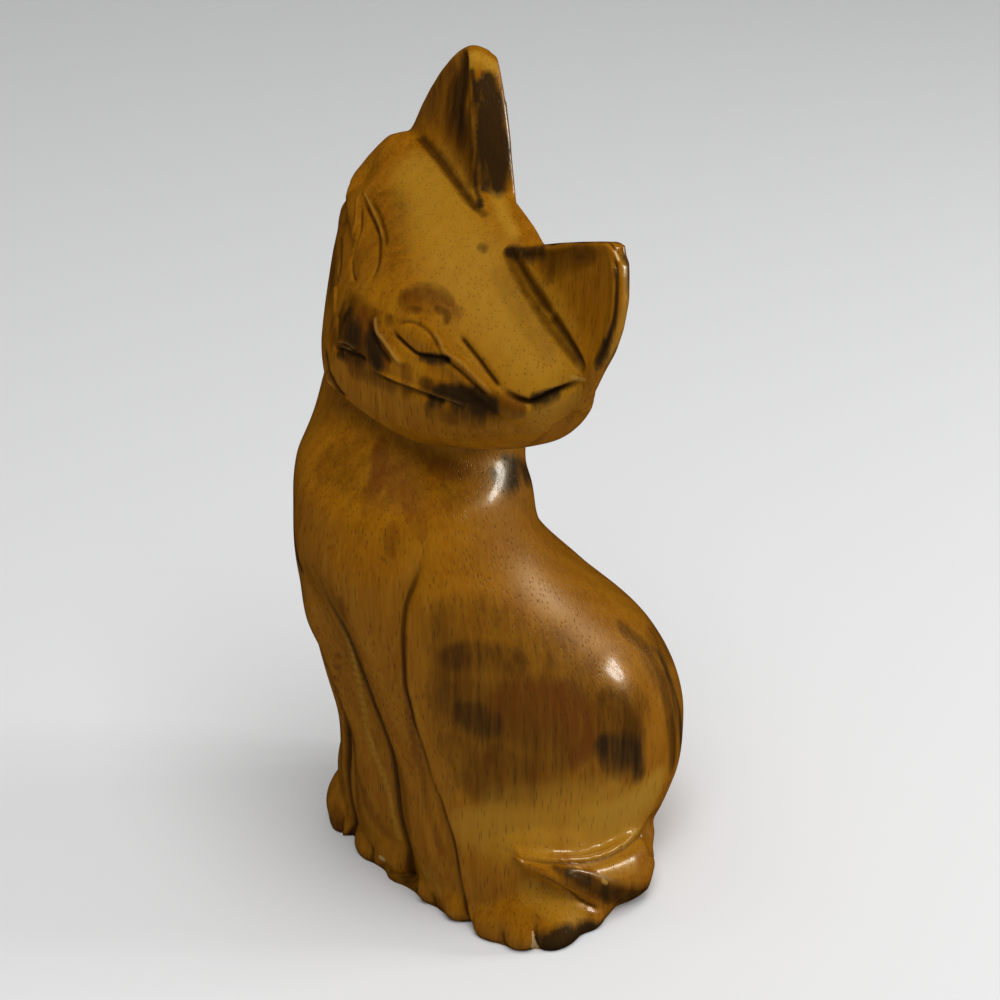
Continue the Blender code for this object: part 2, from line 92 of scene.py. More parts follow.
# %% [markdown]
# ## Measures
#
# The cat looks along -Y and its left side is +X. The head has a frame of its own, tilted to the
# cat's left and turned a little, so its sizes stay easy to read: X to the left, Y to the back
# of the head, Z to the crown.

# %% Measures of the body block
NECK_WIDTH, NECK_DEPTH, NECK_SETBACK, NECK_SQUARENESS = 50.0, 49.5, 1.0, 2.1
SEAT_DROP, SEAT_GAP, OVERCUT = 20.0, 0.3, 10.0
DOWEL_RADIUS, DOWEL_LENGTH, DOWEL_CLEARANCE = 6.0, 40.0, 0.3

Section = namedtuple("Section", "height x y half_width half_depth squareness")
TRUNK = (
    Section(-10.0, 0.0, -3.5, 38.5, 29.5, 3.2),
    Section(0.0, 0.0, -3.5, 38.5, 29.5, 3.2),
    Section(20.0, 0.0, 1.6, 38.5, 39.2, 2.85),
    Section(40.0, 0.0, 3.6, 40.0, 43.5, 2.45),
    Section(60.0, 0.0, -3.0, 38.2, 43.2, 2.2),
    Section(81.0, 0.0, -15.9, 32.3, 36.7, 2.1),
    Section(99.0, -0.7, -25.3, 26.8, 30.8, 2.1),
    Section(113.0, -3.4, -25.7, 25.4, 28.4, 2.1),
)

Ball = namedtuple("Ball", "middle radii")
HIND_LEG = (
    Ball((18.5, -1.0, 40.0), (21.5, 33.0, 35.0)),
    Ball((26.5, -11.5, 18.0), (13.0, 20.0, 24.0)),
    Ball((32.4, -10.6, 4.0), (13.8, 20.8, 13.0)),
)
BODY_FRAME = Matrix.Identity(4)
print("trunk at the floor:", 2 * TRUNK[1].half_width, "by", 2 * TRUNK[1].half_depth, "mm")

# %% Measures of the head block
HEAD_MIDDLE = Vector((1.3, -12.6, 156.5))
HEAD_TURN = Euler((math.radians(-7.4), math.radians(23.8), math.radians(-8.4)), "XYZ")
HEAD_FRAME = Matrix.Translation(HEAD_MIDDLE) @ HEAD_TURN.to_matrix().to_4x4()
BROW_DROOP, BROW_START, BROW_BLEND, BROW_FLAT, BROW_SHIFT = 0.19, -2.0, 12.0, 5.7, 1.8
SKULL_MIDDLE = -6.5
CRANIUM = Ball((0.0, 4.0, 1.0), (36.0, 18.0, 20.0))

Crown = namedtuple("Crown", "height half_width wall back squareness front slope")
SKULL = (
    Crown(-30.0, 25.0, 29.9, 24.0, 2.1, 29.9, 0.455),
    Crown(-20.0, 27.75, 33.8, 24.0, 2.2, 32.4, 0.455),
    Crown(-12.0, 36.0, 36.0, 24.0, 2.5, 31.8, 0.455),
    Crown(-5.0, 40.0, 36.0, 23.0, 2.7, 31.8, 0.455),
    Crown(0.0, 42.0, 36.0, 22.0, 2.7, 30.6, 0.450),
    Crown(3.5, 42.5, 36.0, 20.0, 2.7, 29.0, 0.432),
    Crown(7.0, 43.4, 36.0, 19.0, 2.7, 26.8, 0.332),
    Crown(10.8, 44.0, 36.0, 17.0, 2.7, 23.5, 0.250),
    Crown(16.0, 44.0, 34.0, 14.0, 2.7, 16.0, 0.173),
    Crown(20.0, 42.5, 30.0, 11.5, 2.5, 9.3, 0.114),
    Crown(23.5, 40.5, 28.0, 9.5, 2.4, 2.8, 0.077),
    Crown(26.0, 36.45, 26.0, 8.0, 2.4, -2.7, 0.045),
)

EarRing = namedtuple("EarRing", "height front_inner back_inner outer")
EAR_FRONT_Y, EAR_OUTER_Y, EAR_BACK_Y, EAR_BACK_OUTER_Y = 1.0, 2.8, 9.8, 8.0
EAR_BACK_SHARE, EAR_BEVEL = 0.985, 1.6
RIGHT_EAR = (
    EarRing(6.2, 8.1, 2.2, 44.0),
    EarRing(17.6, 8.1, 2.2, 44.0),
    EarRing(23.8, 11.9, 4.4, 43.8),
    EarRing(29.5, 16.5, 9.7, 43.0),
    EarRing(35.7, 20.5, 15.4, 41.6),
    EarRing(40.7, 24.4, 20.5, 39.8),
    EarRing(43.6, 26.8, 23.8, 38.4),
    EarRing(45.7, 28.8, 26.4, 37.0),
    EarRing(47.6, 30.6, 29.0, 35.4),
)
LEFT_EAR = (
    EarRing(6.2, 6.4, 6.4, 43.8),
    EarRing(17.6, 5.7, 5.7, 43.8),
    EarRing(23.8, 7.7, 7.7, 44.2),
    EarRing(29.5, 13.2, 13.4, 43.4),
    EarRing(35.7, 19.6, 20.2, 41.2),
    EarRing(40.5, 24.9, 25.7, 37.8),
    EarRing(43.3, 28.2, 29.0, 35.0),
    EarRing(45.5, 30.4, 30.8, 33.3),
)
print("head frame:", [round(v, 3) for row in HEAD_FRAME for v in row])

# %% [markdown]
# ## Masses
#
# Both blocks are lofts. A loft is a stack of closed outlines, one above the other, skinned with
# faces. An outline between two stations is read with a smooth cubic, so a dozen measured
# stations give one flowing form. A superellipse is the outline: its squareness takes it from an
# oval near the chest to a rounded square at the foot.

# %% Outlines and lofts
SIDES = 96
BALL_SIDES, BALL_RINGS = 64, 40


def cubic(t, start, leaving, end, arriving):
    """Place at share t of a smooth run, given where it starts and ends and its slope there."""
    value = (2 * t**3 - 3 * t**2 + 1) * start + (t**3 - 2 * t**2 + t) * leaving
    return value + (3 * t**2 - 2 * t**3) * end + (t**3 - t**2) * arriving


def between(stations, height):
    """Station values at a height, on a smooth cubic through the stations."""
    height = min(max(height, stations[0].height), stations[-1].height)
    upper = next(i for i in range(1, len(stations)) if stations[i].height >= height)
    low, high = stations[upper - 1], stations[upper]
    before, after = stations[max(upper - 2, 0)], stations[min(upper + 1, len(stations) - 1)]
    span = high.height - low.height
    t = (height - low.height) / span
    values = [height]
    for i in range(1, len(low)):
        leaving = (high[i] - before[i]) / (high[0] - before[0]) * span
        arriving = (after[i] - low[i]) / (after[0] - low[0]) * span
        values.append(cubic(t, low[i], leaving, high[i], arriving))
    return type(low)(*values)


def reach(angle, half_width, half_depth, squareness):
    """Distance from the middle of a superellipse to its edge."""
    across = abs(math.sin(angle) / half_width) ** squareness
    along = abs(math.cos(angle) / half_depth) ** squareness
    return (across + along) ** (-1.0 / squareness)


def ring_angles():
    return [2 * math.pi * side / SIDES for side in range(SIDES)]


def plan(half_width, half_depth, squareness):
    """Superellipse seen from above, as pairs of a width and a depth."""
    outline = []
    for angle in ring_angles():
        radius = reach(angle, half_width, half_depth, squareness)
        outline.append((radius * math.sin(angle), radius * math.cos(angle)))
    return outline


neck_side = plan(NECK_WIDTH / 2, NECK_DEPTH / 2, NECK_SQUARENESS)[SIDES // 4]
print("widest place of the neck's plan:", [round(value, 2) for value in neck_side])


# %% Lofts and balls
def add_loft(bm, rings):
    """Skin a stack of rings with faces and close both ends."""
    loops = [[bm.verts.new(point) for point in ring] for ring in rings]
    count = len(loops[0])
    for lower, upper in zip(loops[:-1], loops[1:]):
        for i in range(count):
            j = (i + 1) % count
            bm.faces.new((lower[i], lower[j], upper[j], upper[i]))
    bm.faces.new(list(reversed(loops[0])))
    bm.faces.new(loops[-1])


def add_ball(bm, middle, radii):
    place = Matrix.Translation(middle) @ Matrix.Diagonal((*radii, 1.0))
    bmesh.ops.create_uvsphere(
        bm, u_segments=BALL_SIDES, v_segments=BALL_RINGS, radius=1.0, matrix=place
    )


print("sides of a loft:", SIDES, "sides of a ball:", BALL_SIDES)

# %% [markdown]
# ## Trunk and hind legs
#
# On the real block the carver leaves the trunk standing between the haunches. Here the trunk is
# one loft: level rings up to the shoulders, then rings that lean over until they meet the tilted
# head. The haunches and hind paws are flattened balls that overlap it, the same on both sides.

# %% Trunk and hind legs
TRUNK_STEPS, NECK_STEPS = 64, 20


def level_ring(section):
    outline = plan(section.half_width, section.half_depth, section.squareness)
    return [Vector((section.x + x, section.y - y, section.height)) for x, y in outline]


def neck_ring(height):
    outline = plan(NECK_WIDTH / 2, NECK_DEPTH / 2, NECK_SQUARENESS)
    return [HEAD_FRAME @ Vector((x, NECK_SETBACK - y, height)) for x, y in outline]


def add_trunk(bm):
    """Level rings up to the shoulders, then rings that lean over to the tilted neck."""
    bottom, top = TRUNK[0].height, TRUNK[-1].height
    heights = [bottom + (top - bottom) * step / TRUNK_STEPS for step in range(TRUNK_STEPS + 1)]
    rings = [level_ring(between(TRUNK, height)) for height in heights]
    shoulder, below = rings[-1], rings[-3]
    seat, above = neck_ring(-SEAT_DROP), neck_ring(-SEAT_DROP + OVERCUT)
    for step in range(1, NECK_STEPS):
        ring = []
        for start, under, end, over in zip(shoulder, below, seat, above):
            length = (end - start).length
            leaving = (start - under).normalized() * length
            arriving = (over - end).normalized() * length
            ring.append(cubic(step / NECK_STEPS, start, leaving, end, arriving))
        rings.append(ring)
    add_loft(bm, rings + [seat, above])


def add_hind_legs(bm):
    for side in (-1, 1):
        for ball in HIND_LEG:
            x, y, z = ball.middle
            add_ball(bm, Vector((side * x, y, z)), ball.radii)


print("rings of the trunk:", TRUNK_STEPS + NECK_STEPS + 2, "balls of a leg:", len(HIND_LEG))

# %% [markdown]
# ## Tail
#
# The tail leaves the back at the floor, hugs the left foot and ends in a pointed leaf with a
# ridge along its middle. It is a loft along a path: a lens-shaped section that widens along the
# side and closes to a point over the paw. A low squareness gives the lens its ridge.

# %% Tail leaf
Leaf = namedtuple("Leaf", "place half_height half_thickness")
TAIL_SQUARENESS = 1.5
TAIL = (
    Leaf((-14.3, 32.0, 6.0), 4.6, 3.2),
    Leaf((0.0, 34.0, 6.9), 6.0, 4.8),
    Leaf((16.0, 29.9, 7.8), 7.8, 5.1),
    Leaf((28.6, 20.1, 7.8), 9.2, 6.7),
    Leaf((37.4, 11.9, 7.8), 9.9, 6.7),
    Leaf((41.0, 5.1, 8.6), 9.2, 6.4),
    Leaf((42.0, -3.1, 10.8), 8.5, 5.5),
    Leaf((42.0, -9.9, 14.8), 6.2, 5.1),
    Leaf((41.4, -16.0, 19.0), 4.3, 4.6),
    Leaf((39.4, -21.1, 22.1), 2.8, 3.0),
    Leaf((36.6, -26.2, 25.6), 1.2, 1.4),
)


def add_tail(bm):
    places = [Vector(leaf.place) for leaf in TAIL]
    rings = []
    for i, leaf in enumerate(TAIL):
        ahead, behind = places[min(i + 1, len(TAIL) - 1)], places[max(i - 1, 0)]
        run = (ahead - behind).normalized()
        outward = run.cross(Vector((0.0, 0.0, 1.0))).normalized()
        rise = outward.cross(run).normalized()
        ring = []
        for angle in ring_angles():
            radius = reach(angle, leaf.half_height, leaf.half_thickness, TAIL_SQUARENESS)
            ring.append(places[i] + radius * (outward * math.cos(angle) + rise * math.sin(angle)))
        rings.append(ring)
    add_loft(bm, rings)


print("height of the tail leaf:", 2 * max(leaf.half_height for leaf in TAIL), "mm")

# %% [markdown]
# ## Skull and ears
#
# The head is a block too. Its plan at any height is a rounded box cut by two slanted facets,
# which meet in front and make the ridge of the nose. Higher up the facets run back and turn
# into the flat forehead. The brow droops to both sides. An ear is a thick plate, a stack of
# four-cornered rings: inner and outer edge in front, outer and inner edge behind.

# %% Skull
SKULL_STEPS = 70
EDGE_POWER = 12
GRAZING, FAR_OFF = 0.05, 1000.0


def skull_radius(level, angle):
    """Distance from the skull's middle to the wall or the facet, whichever is nearer."""
    ahead = math.cos(angle)
    depth = level.wall - SKULL_MIDDLE if ahead > 0 else level.back + SKULL_MIDDLE
    wall = reach(angle, level.half_width, depth, level.squareness)
    slant = ahead + level.slope * abs(math.sin(angle))
    facet = (level.front - SKULL_MIDDLE) / slant if slant > GRAZING else FAR_OFF
    return (wall**-EDGE_POWER + facet**-EDGE_POWER) ** (-1 / EDGE_POWER)


def add_skull(bm):
    bottom, top = SKULL[0].height, SKULL[-1].height
    rings = []
    for step in range(SKULL_STEPS + 1):
        level = between(SKULL, bottom + (top - bottom) * step / SKULL_STEPS)
        share = min(max((level.height - BROW_START) / BROW_BLEND, 0.0), 1.0)
        ring = []
        for angle in ring_angles():
            radius = skull_radius(level, angle)
            x = radius * math.sin(angle)
            forward = SKULL_MIDDLE + radius * math.cos(angle)
            drop = BROW_DROOP * share * max(abs(x) - BROW_FLAT, 0.0)
            ring.append((x - BROW_SHIFT * share, -forward, level.height - drop))
        rings.append(ring)
    add_loft(bm, rings)
    add_ball(bm, Vector(CRANIUM.middle), CRANIUM.radii)


print("muzzle before the skull's middle:", round(skull_radius(SKULL[1], 0.0), 1), "mm")

# %% Ears
MOST_BEVEL = 0.4


def bevelled(corners, size):
    """The same outline with each corner cut back along both of its edges."""
    outline = []
    for i, corner in enumerate(corners):
        for other in (corners[i - 1], corners[(i + 1) % len(corners)]):
            share = min(MOST_BEVEL, size / (other - corner).length)
            outline.append(corner.lerp(other, share))
    return outline


def add_ears(bm):
    for side, table in ((-1, RIGHT_EAR), (1, LEFT_EAR)):
        rings = []
        for ring in table:
            corners = (
                Vector((side * ring.front_inner, EAR_FRONT_Y, ring.height)),
                Vector((side * ring.outer, EAR_OUTER_Y, ring.height)),
                Vector((side * ring.outer * EAR_BACK_SHARE, EAR_BACK_OUTER_Y, ring.height)),
                Vector((side * ring.back_inner, EAR_BACK_Y, ring.height)),
            )
            rings.append(bevelled(corners, EAR_BEVEL))
        add_loft(bm, rings)


print("ear tips above the head's middle:", RIGHT_EAR[-1].height, LEFT_EAR[-1].height, "mm")

# %% [markdown]
# ## From masses to one skin
#
# A voxel remesh melts the overlapping masses into one even skin of small squares, and a few
# rounds of smoothing take off the voxel steps, as sandpaper would. Even, small faces are what
# the carving step needs, because it moves single points of the skin.

# %% Blocks
BODY_VOXEL, HEAD_VOXEL, SANDING = 0.85, 0.6, 9
pieces = bpy.data.collections.new("carved cat")
bpy.context.scene.collection.children.link(pieces)


def put(name, mesh):
    item = bpy.data.objects.new(name, mesh)
    pieces.objects.link(item)
    return item


def baked(item):
    """Turn an object's modifiers into its plain mesh."""
    graph = bpy.context.evaluated_depsgraph_get()
    result = bpy.data.meshes.new_from_object(item.evaluated_get(graph))
    old = item.data
    item.modifiers.clear()
    item.data = result
    bpy.data.meshes.remove(old)


def new_mesh(bm, name):
    mesh = bpy.data.meshes.new(name)
    bm.to_mesh(mesh)
    bm.free()
    return mesh


def block(name, builders, voxel):
    bm = bmesh.new()
    for build in builders:
        build(bm)
    bmesh.ops.recalc_face_normals(bm, faces=bm.faces)
    item = put(name, new_mesh(bm, name))
    remesh = item.modifiers.new("Melt", "REMESH")
    remesh.mode = "VOXEL"
    remesh.voxel_size = voxel
    smooth = item.modifiers.new("Sand", "SMOOTH")
    smooth.iterations = SANDING
    baked(item)
    return item


body = block("carved_body", (add_trunk, add_hind_legs, add_tail), BODY_VOXEL)
head = block("carved_head", (add_skull, add_ears), HEAD_VOXEL)
print("body faces:", len(body.data.polygons), "head faces:", len(head.data.polygons))

# %% [markdown]
# ## Planes and bore
#
# Three cuts are exact and flat or round: the floor, the seat between the two blocks with its
# hair-thin glue gap, and the bore for the pin. They are Boolean cuts, made after the skin is
# refined, so that the finer faces are in place before the saw runs through them.

# %% Saw and drill
SAW_REACH, BORE_SIDES = 100.0, 48
BELOW_FLOOR = (-50.0, 0.0)
ABOVE_SEAT = (-SEAT_DROP - SEAT_GAP / 2, 100.0)
BELOW_SEAT = (-120.0, -SEAT_DROP + SEAT_GAP / 2)


def cut_away(item, tool_mesh, place):
    tool = put("tool", tool_mesh)
    tool.matrix_world = place
    bpy.context.view_layer.update()
    boolean = item.modifiers.new("Cut", "BOOLEAN")
    boolean.operation = "DIFFERENCE"
    boolean.solver = "EXACT"
    boolean.object = tool
    baked(item)
    bpy.data.objects.remove(tool, do_unlink=True)
    bpy.data.meshes.remove(tool_mesh)


def slab_mesh(low, high):
    """Slab between two heights, wider than either block."""
    bm = bmesh.new()
    lower, upper = Vector((-SAW_REACH, -SAW_REACH, low)), Vector((SAW_REACH, SAW_REACH, high))
    place = Matrix.Translation((lower + upper) / 2) @ Matrix.Diagonal((*(upper - lower), 1.0))
    bmesh.ops.create_cube(bm, size=1.0, matrix=place)
    return new_mesh(bm, "saw")


def bore_mesh():
    bm = bmesh.new()
    radius = DOWEL_RADIUS + DOWEL_CLEARANCE
    bmesh.ops.create_cone(
        bm,
        cap_ends=True,
        segments=BORE_SIDES,
        radius1=radius,
        radius2=radius,
        depth=DOWEL_LENGTH + 2 * DOWEL_CLEARANCE,
        matrix=Matrix.Translation((0.0, NECK_SETBACK, -SEAT_DROP)),
    )
    return new_mesh(bm, "drill")


print("bore radius:", DOWEL_RADIUS + DOWEL_CLEARANCE, "mm, seam:", SEAT_GAP, "mm")

# %% [markdown]
# ## Carving tools
#
# A gouge leaves a groove along a line. For each point of the skin we find the nearest place on
# the line, how far off it is and on which side, and push the point in by the shape of the
# groove there. A groove with a steep wall on one side and a long slope on the other reads as
# one form lying over another, which is how the carver sets a leg against the chest. Stain,
# scorch, painted shade and painted highlights are soft clouds round a line or a spot. They are
# stored on the mesh, drawn out a little along the upright grain, and the material breaks their
# edges into fibres later.

# %% Lines and falloffs
RUN_STEPS = 8
SUDDEN = 1e-6


def smooth_run(points):
    """Smooth run of points through the given ones."""
    points = np.array(points, dtype=float)
    if len(points) == 1:
        return points
    padded = np.vstack([2 * points[0] - points[1], points, 2 * points[-1] - points[-2]])
    run = []
    for a, b, c, d in zip(padded[:-3], padded[1:-2], padded[2:-1], padded[3:]):
        for step in range(RUN_STEPS):
            t = step / RUN_STEPS
            bend = (2 * a - 5 * b + 4 * c - d) * t**2 + (3 * b - a - 3 * c + d) * t**3
            run.append((2 * b + (c - a) * t + bend) / 2)
    run.append(points[-1])
    return np.array(run)


def eased(values):
    """Soft step: 0 up to 0, 1 from 1 on, with no corner between."""
    values = np.clip(values, 0.0, 1.0)
    return values * values * (3.0 - 2.0 * values)


def faded(progress, ends):
    """Strength along a line that comes in over one share of it and goes out over another."""
    arrive, leave = (max(end, SUDDEN) for end in ends)
    return eased(progress / arrive) * eased((1.0 - progress) / leave)


def mirrored(aims):
    return [(-aim[0], *aim[1:]) for aim in aims]


print("soft step at 0.25, 0.5 and 0.75:", eased(np.array([0.25, 0.5, 0.75])))

# %% Skin
LINE_ROUNDS, TINY = 3, 1e-9
SIGHT_DEPTHS = range(470, 650, 2)


class Skin:
    """Points of a block's skin, what the tools push them by, and the colour clouds on them."""

    # the groove cloud holds painted shade, the second cloud holds painted highlights
    CLOUDS = ("groove", "rub", "scorch_and_shade", "umber_and_shade", "russet_and_shade", "pale", "bare")

    def __init__(self, item, place):
        mesh = item.data
        count = len(mesh.vertices)
        self.mesh, self.place = mesh, place
        self.points = np.empty(count * 3)
        mesh.vertices.foreach_get("co", self.points)
        self.points = self.points.reshape(-1, 3)
        self.normals = np.array([vertex.normal for vertex in mesh.vertices])
        self.push = np.zeros(count)
        self.clouds = {name: np.zeros(count) for name in self.CLOUDS}
        corners = [tuple(point) for point in self.points]
        self.tree = BVHTree.FromPolygons(corners, [face.vertices[:] for face in mesh.polygons])
        self.turn = place.inverted().to_3x3()
        self.eye = place.inverted() @ EYE
        self.up = np.array(self.turn @ Vector((0.0, 0.0, 1.0)))

    def seen(self, *places):
        """Points of the skin behind places in the camera's frame, or the nearest ones to them."""
        found = []
        for x, y in places:
            direction = self.turn @ sight(x, y)
            hit = self.tree.ray_cast(self.eye, direction)[0]
            if hit is None:
                steps = [self.eye + direction * depth for depth in SIGHT_DEPTHS]
                nearest = [self.tree.find_nearest(step) for step in steps]
                hit = min(nearest, key=lambda near: near[3])[0]
            found.append(tuple(hit))
        return found

    def line(self, aims):
        """Smooth line through the aims, laid on the skin."""
        run = [self.tree.find_nearest(Vector(aim))[0] for aim in smooth_run(aims)]
        run = np.array([tuple(point) for point in run])
        for _ in range(LINE_ROUNDS):
            run[1:-1] = (run[:-2] + 2.0 * run[1:-1] + run[2:]) / 4.0
        return run

    def measured(self, line, margin):
        """Points near a line: their indices, distance, signed side and progress from 0 to 1.

        The side is positive on the right hand of somebody who walks along the line.
        """
        low, high = line.min(axis=0) - margin, line.max(axis=0) + margin
        near = np.flatnonzero(np.all((self.points > low) & (self.points < high), axis=1))
        points, normals = self.points[near], self.normals[near]
        best = np.full(len(near), np.inf)
        side = np.ones(len(near))
        progress = np.zeros(len(near))
        lengths = np.linalg.norm(np.diff(line, axis=0), axis=1)
        travelled = np.concatenate([[0.0], np.cumsum(lengths)])
        for i, (start, end) in enumerate(zip(line[:-1], line[1:])):
            run = end - start
            share = np.clip((points - start) @ run / max(run @ run, TINY), 0.0, 1.0)
            off = points - start - share[:, None] * run
            distance = np.linalg.norm(off, axis=1)
            hand = np.sign(np.sum(off * np.cross(run, normals), axis=1))
            done = (travelled[i] + share * lengths[i]) / travelled[-1]
            closer = distance < best
            best = np.where(closer, distance, best)
            side = np.where(closer, hand, side)
            progress = np.where(closer, done, progress)
        return near, best, side, progress

    def cloud(self, name, near, values):
        """Let a cloud be at least as strong as the values."""
        self.clouds[name][near] = np.maximum(self.clouds[name][near], values)


print("skin clouds:", ", ".join(Skin.CLOUDS))

# %% [markdown]
# ## Gouge, ridge and swell
#
# The gouge has its own reach to the left and to the right of its line, and paints shade along its
# bottom. A trough is the same tool held flat and wide. A ridge stands up where a knife took the
# wood away beside it, and its crest gets a painted highlight. A swell is a soft rise or hollow
# round one spot, as a rasp leaves it. A gouge is given its reach to the left, its reach to the
# right and its depth, a ridge or a trough its half width and its height or depth, all in
# millimetres.

# %% Cutting tools
ENDS = (0.15, 0.15)
GOUGE_MARGIN, RIDGE_MARGIN = 2.0, 1.0
GOUGE_FALL, TROUGH_FALL = 1.8, 1.3
# how the painted shade in a groove falls off from its middle
SHADE_CORE, SHADE_FALL = 1.25, 0.75
# how the painted highlight on a crest falls off
HIGHLIGHT_CORE, HIGHLIGHT_FALL = 1.2, 1.4


def gouge(skin, aims, left, right, depth, ends=ENDS, shade_strength=0.0, shade_width=0.7):
    """Groove along the aims, with its own reach to each side of the line and painted shade in it.
    """
    line = skin.line(aims)
    near, distance, side, progress = skin.measured(line, max(left, right) + GOUGE_MARGIN)
    fade = faded(progress, ends)
    fall = np.clip(1.0 - distance / np.where(side > 0, right, left), 0.0, 1.0)
    skin.push[near] -= depth * fade * fall**GOUGE_FALL
    # painted shade: the bottom of the groove is darkened as if in shadow
    groove_shade = eased(SHADE_CORE - distance / shade_width * SHADE_FALL)
    skin.cloud("groove", near, shade_strength * fade * groove_shade)


def trough(skin, aims, width, depth, ends):
    """Wide round hollow along the aims."""
    near, distance, _, progress = skin.measured(skin.line(aims), width)
    fall = np.clip(1.0 - (distance / width) ** 2, 0.0, 1.0) ** TROUGH_FALL
    skin.push[near] -= depth * faded(progress, ends) * fall


def ridge(skin, aims, width, height, rub, ends=ENDS):
    """Raised line along the aims, with a painted highlight on its crest."""
    near, distance, _, progress = skin.measured(skin.line(aims), width + RIDGE_MARGIN)
    fade = faded(progress, ends)
    skin.push[near] += height * fade * eased(1.0 - distance / width)
    # painted highlight: the crest is lightened as if it caught the light
    crest_highlight = eased(HIGHLIGHT_CORE - distance / width * HIGHLIGHT_FALL)
    skin.cloud("rub", near, rub * fade * crest_highlight)


def swell(skin, place, radii, height):
    """Soft rise round a place in the camera's frame, or with a negative height a hollow.

    The radii are one number, or three along the block's own axes.
    """
    off = (skin.points - np.array(skin.seen(place)[0])) / np.array(radii)
    skin.push += height * eased(1.0 - np.linalg.norm(off, axis=1))


def deepest(skin):
    return round(float(-skin.push.min()), 2)


print("a line fades in and out over", ENDS, "of its length")

# %% [markdown]
# ## Stain, scorch and painted light
#
# A mark has a name, a strength and a run of dabs. Each dab that is seen is an x, a y and a radius
# in the camera's frame. On the hidden side a dab is a point of the block and a radius, in
# millimetres. Clouds of one name don't add up: the stronger one shows.

# %% Brush for stain, scorch and painted light
DRAWN_OUT = 0.5
CLOUD_CORE, CLOUD_FALL = 1.7, 1.4


def lay_cloud(skin, name, strength, spots):
    """Soft cloud round a run of spots, drawn out downwards along the grain."""
    total = np.zeros(len(skin.points))
    for x, y, z, radius in smooth_run(spots):
        off = skin.points - np.array((x, y, z))
        fall = np.minimum(off @ skin.up, 0.0) * DRAWN_OUT
        distance = np.linalg.norm(off - fall[:, None] * skin.up, axis=1)
        total = np.maximum(total, (CLOUD_CORE - distance / radius) / CLOUD_FALL)
    skin.cloud(name, slice(None), strength * eased(total))


def paint(skin, seen_marks, hidden_marks):
    """Lay on the marks that are seen and then those of the hidden side."""
    for name, strength, *dabs in seen_marks:
        spots = [(*skin.seen((x, y))[0], radius * UNIT) for x, y, radius in dabs]
        lay_cloud(skin, name, strength, spots)
    for name, strength, *spots in hidden_marks:
        lay_cloud(skin, name, strength, spots)
    print("marks:", len(seen_marks), "seen and", len(hidden_marks), "hidden")


# %% [markdown]
# ## Settle, store and refine
#
# Next to each other, two cuts can leave single points standing, so the pushes are evened out a
# little before they are used. A thin line needs smaller faces than the rest of the block, so
# the faces near the lines are halved first.

# %% Settle and store
SETTLE = 0.4


def settle(skin, rounds):
    """Even out the pushes of neighbouring points."""
    edges = np.empty(len(skin.mesh.edges) * 2, dtype=np.int32)
    skin.mesh.edges.foreach_get("vertices", edges)
    ends = edges.reshape(-1, 2)
    count = len(skin.points)
    neighbours = np.maximum(np.bincount(edges, minlength=count), 1)
    for _ in range(rounds):
        total = np.bincount(ends[:, 0], skin.push[ends[:, 1]], count)
        total += np.bincount(ends[:, 1], skin.push[ends[:, 0]], count)
        skin.push = (1.0 - SETTLE) * skin.push + SETTLE * total / neighbours


def store(skin):
    """Write the carved points, in metres, and the clouds into the mesh, and give the height."""
    carved = skin.points + skin.normals * skin.push[:, None]
    matrix = np.array(skin.place)
    carved = carved @ matrix[:3, :3].T + matrix[:3, 3]
    carved[:, 2] = np.maximum(carved[:, 2], 0.0)
    skin.mesh.vertices.foreach_set("co", (carved * MM).ravel())
    for name, values in skin.clouds.items():
        layer = skin.mesh.attributes.new(name, "FLOAT", "POINT")
        layer.data.foreach_set("value", np.clip(values, 0.0, 1.0))
    skin.mesh.update()
    return round(float(carved[:, 2].max()), 1)


print("a settling round takes", SETTLE, "of each push from the neighbours")

# %% Finer faces along the lines
RELAX_ROUNDS, RELAX = 3, 0.5


def refine(item, lines, margin):
    """Halve the faces near the lines and relax the new points."""
    tree = KDTree(sum(len(line) for line in lines))
    for i, point in enumerate(point for line in lines for point in line):
        tree.insert(Vector(point), i)
    tree.balance()
    bm = bmesh.new()
    bm.from_mesh(item.data)
    near = [face for face in bm.faces if tree.find(face.calc_center_median())[2] < margin]
    edges = {edge for face in near for edge in face.edges}
    result = bmesh.ops.subdivide_edges(bm, edges=list(edges), cuts=1, use_grid_fill=True)
    bmesh.ops.triangulate(bm, faces=[face for face in bm.faces if len(face.verts) > 4])
    added = [part for part in result["geom_inner"] if isinstance(part, bmesh.types.BMVert)]
    around = {vert for seed in added for face in seed.link_faces for vert in face.verts}
    axes = {"use_axis_x": True, "use_axis_y": True, "use_axis_z": True}
    for _ in range(RELAX_ROUNDS):
        bmesh.ops.smooth_vert(bm, verts=list(around), factor=RELAX, **axes)
    bm.to_mesh(item.data)
    bm.free()
    print(item.name, "faces after refining:", len(item.data.polygons))


# %% [markdown]
# ## Toe notches
#
# At the floor the knife parted the toes with short wedge cuts, all alike. What repeats is work
# for Geometry Nodes: one pyramid stands on the floor at each notch, turned so that an edge
# points into the wood, and the Boolean cuts all of them at once. Sizes are inputs of the tree.

# %% Wedges on a few points
NOTCH_REACH, NOTCH_HEIGHT, NOTCH_LEVEL, NOTCH_FOOT = 2.4, 8.0, 2.0, -1.0
Notch = namedtuple("Notch", "x y size")
NOTCHES = (
    Notch(373, 852, 1.0),
    Notch(412, 880, 0.9),
    Notch(434, 899, 0.8),
    Notch(503, 935, 0.9),
    Notch(536, 942, 1.2),
    Notch(346, 824, 0.9),
)
HIDDEN_NOTCHES = (Notch(-37.5, -29.0, 1.0), Notch(-43.0, -25.0, 1.0))


def stored_value(tree, name, kind):
    """Node that reads a value stored on the points."""
    node = tree.nodes.new("GeometryNodeInputNamedAttribute")
    node.data_type = kind
    node.inputs["Name"].default_value = name
    return node


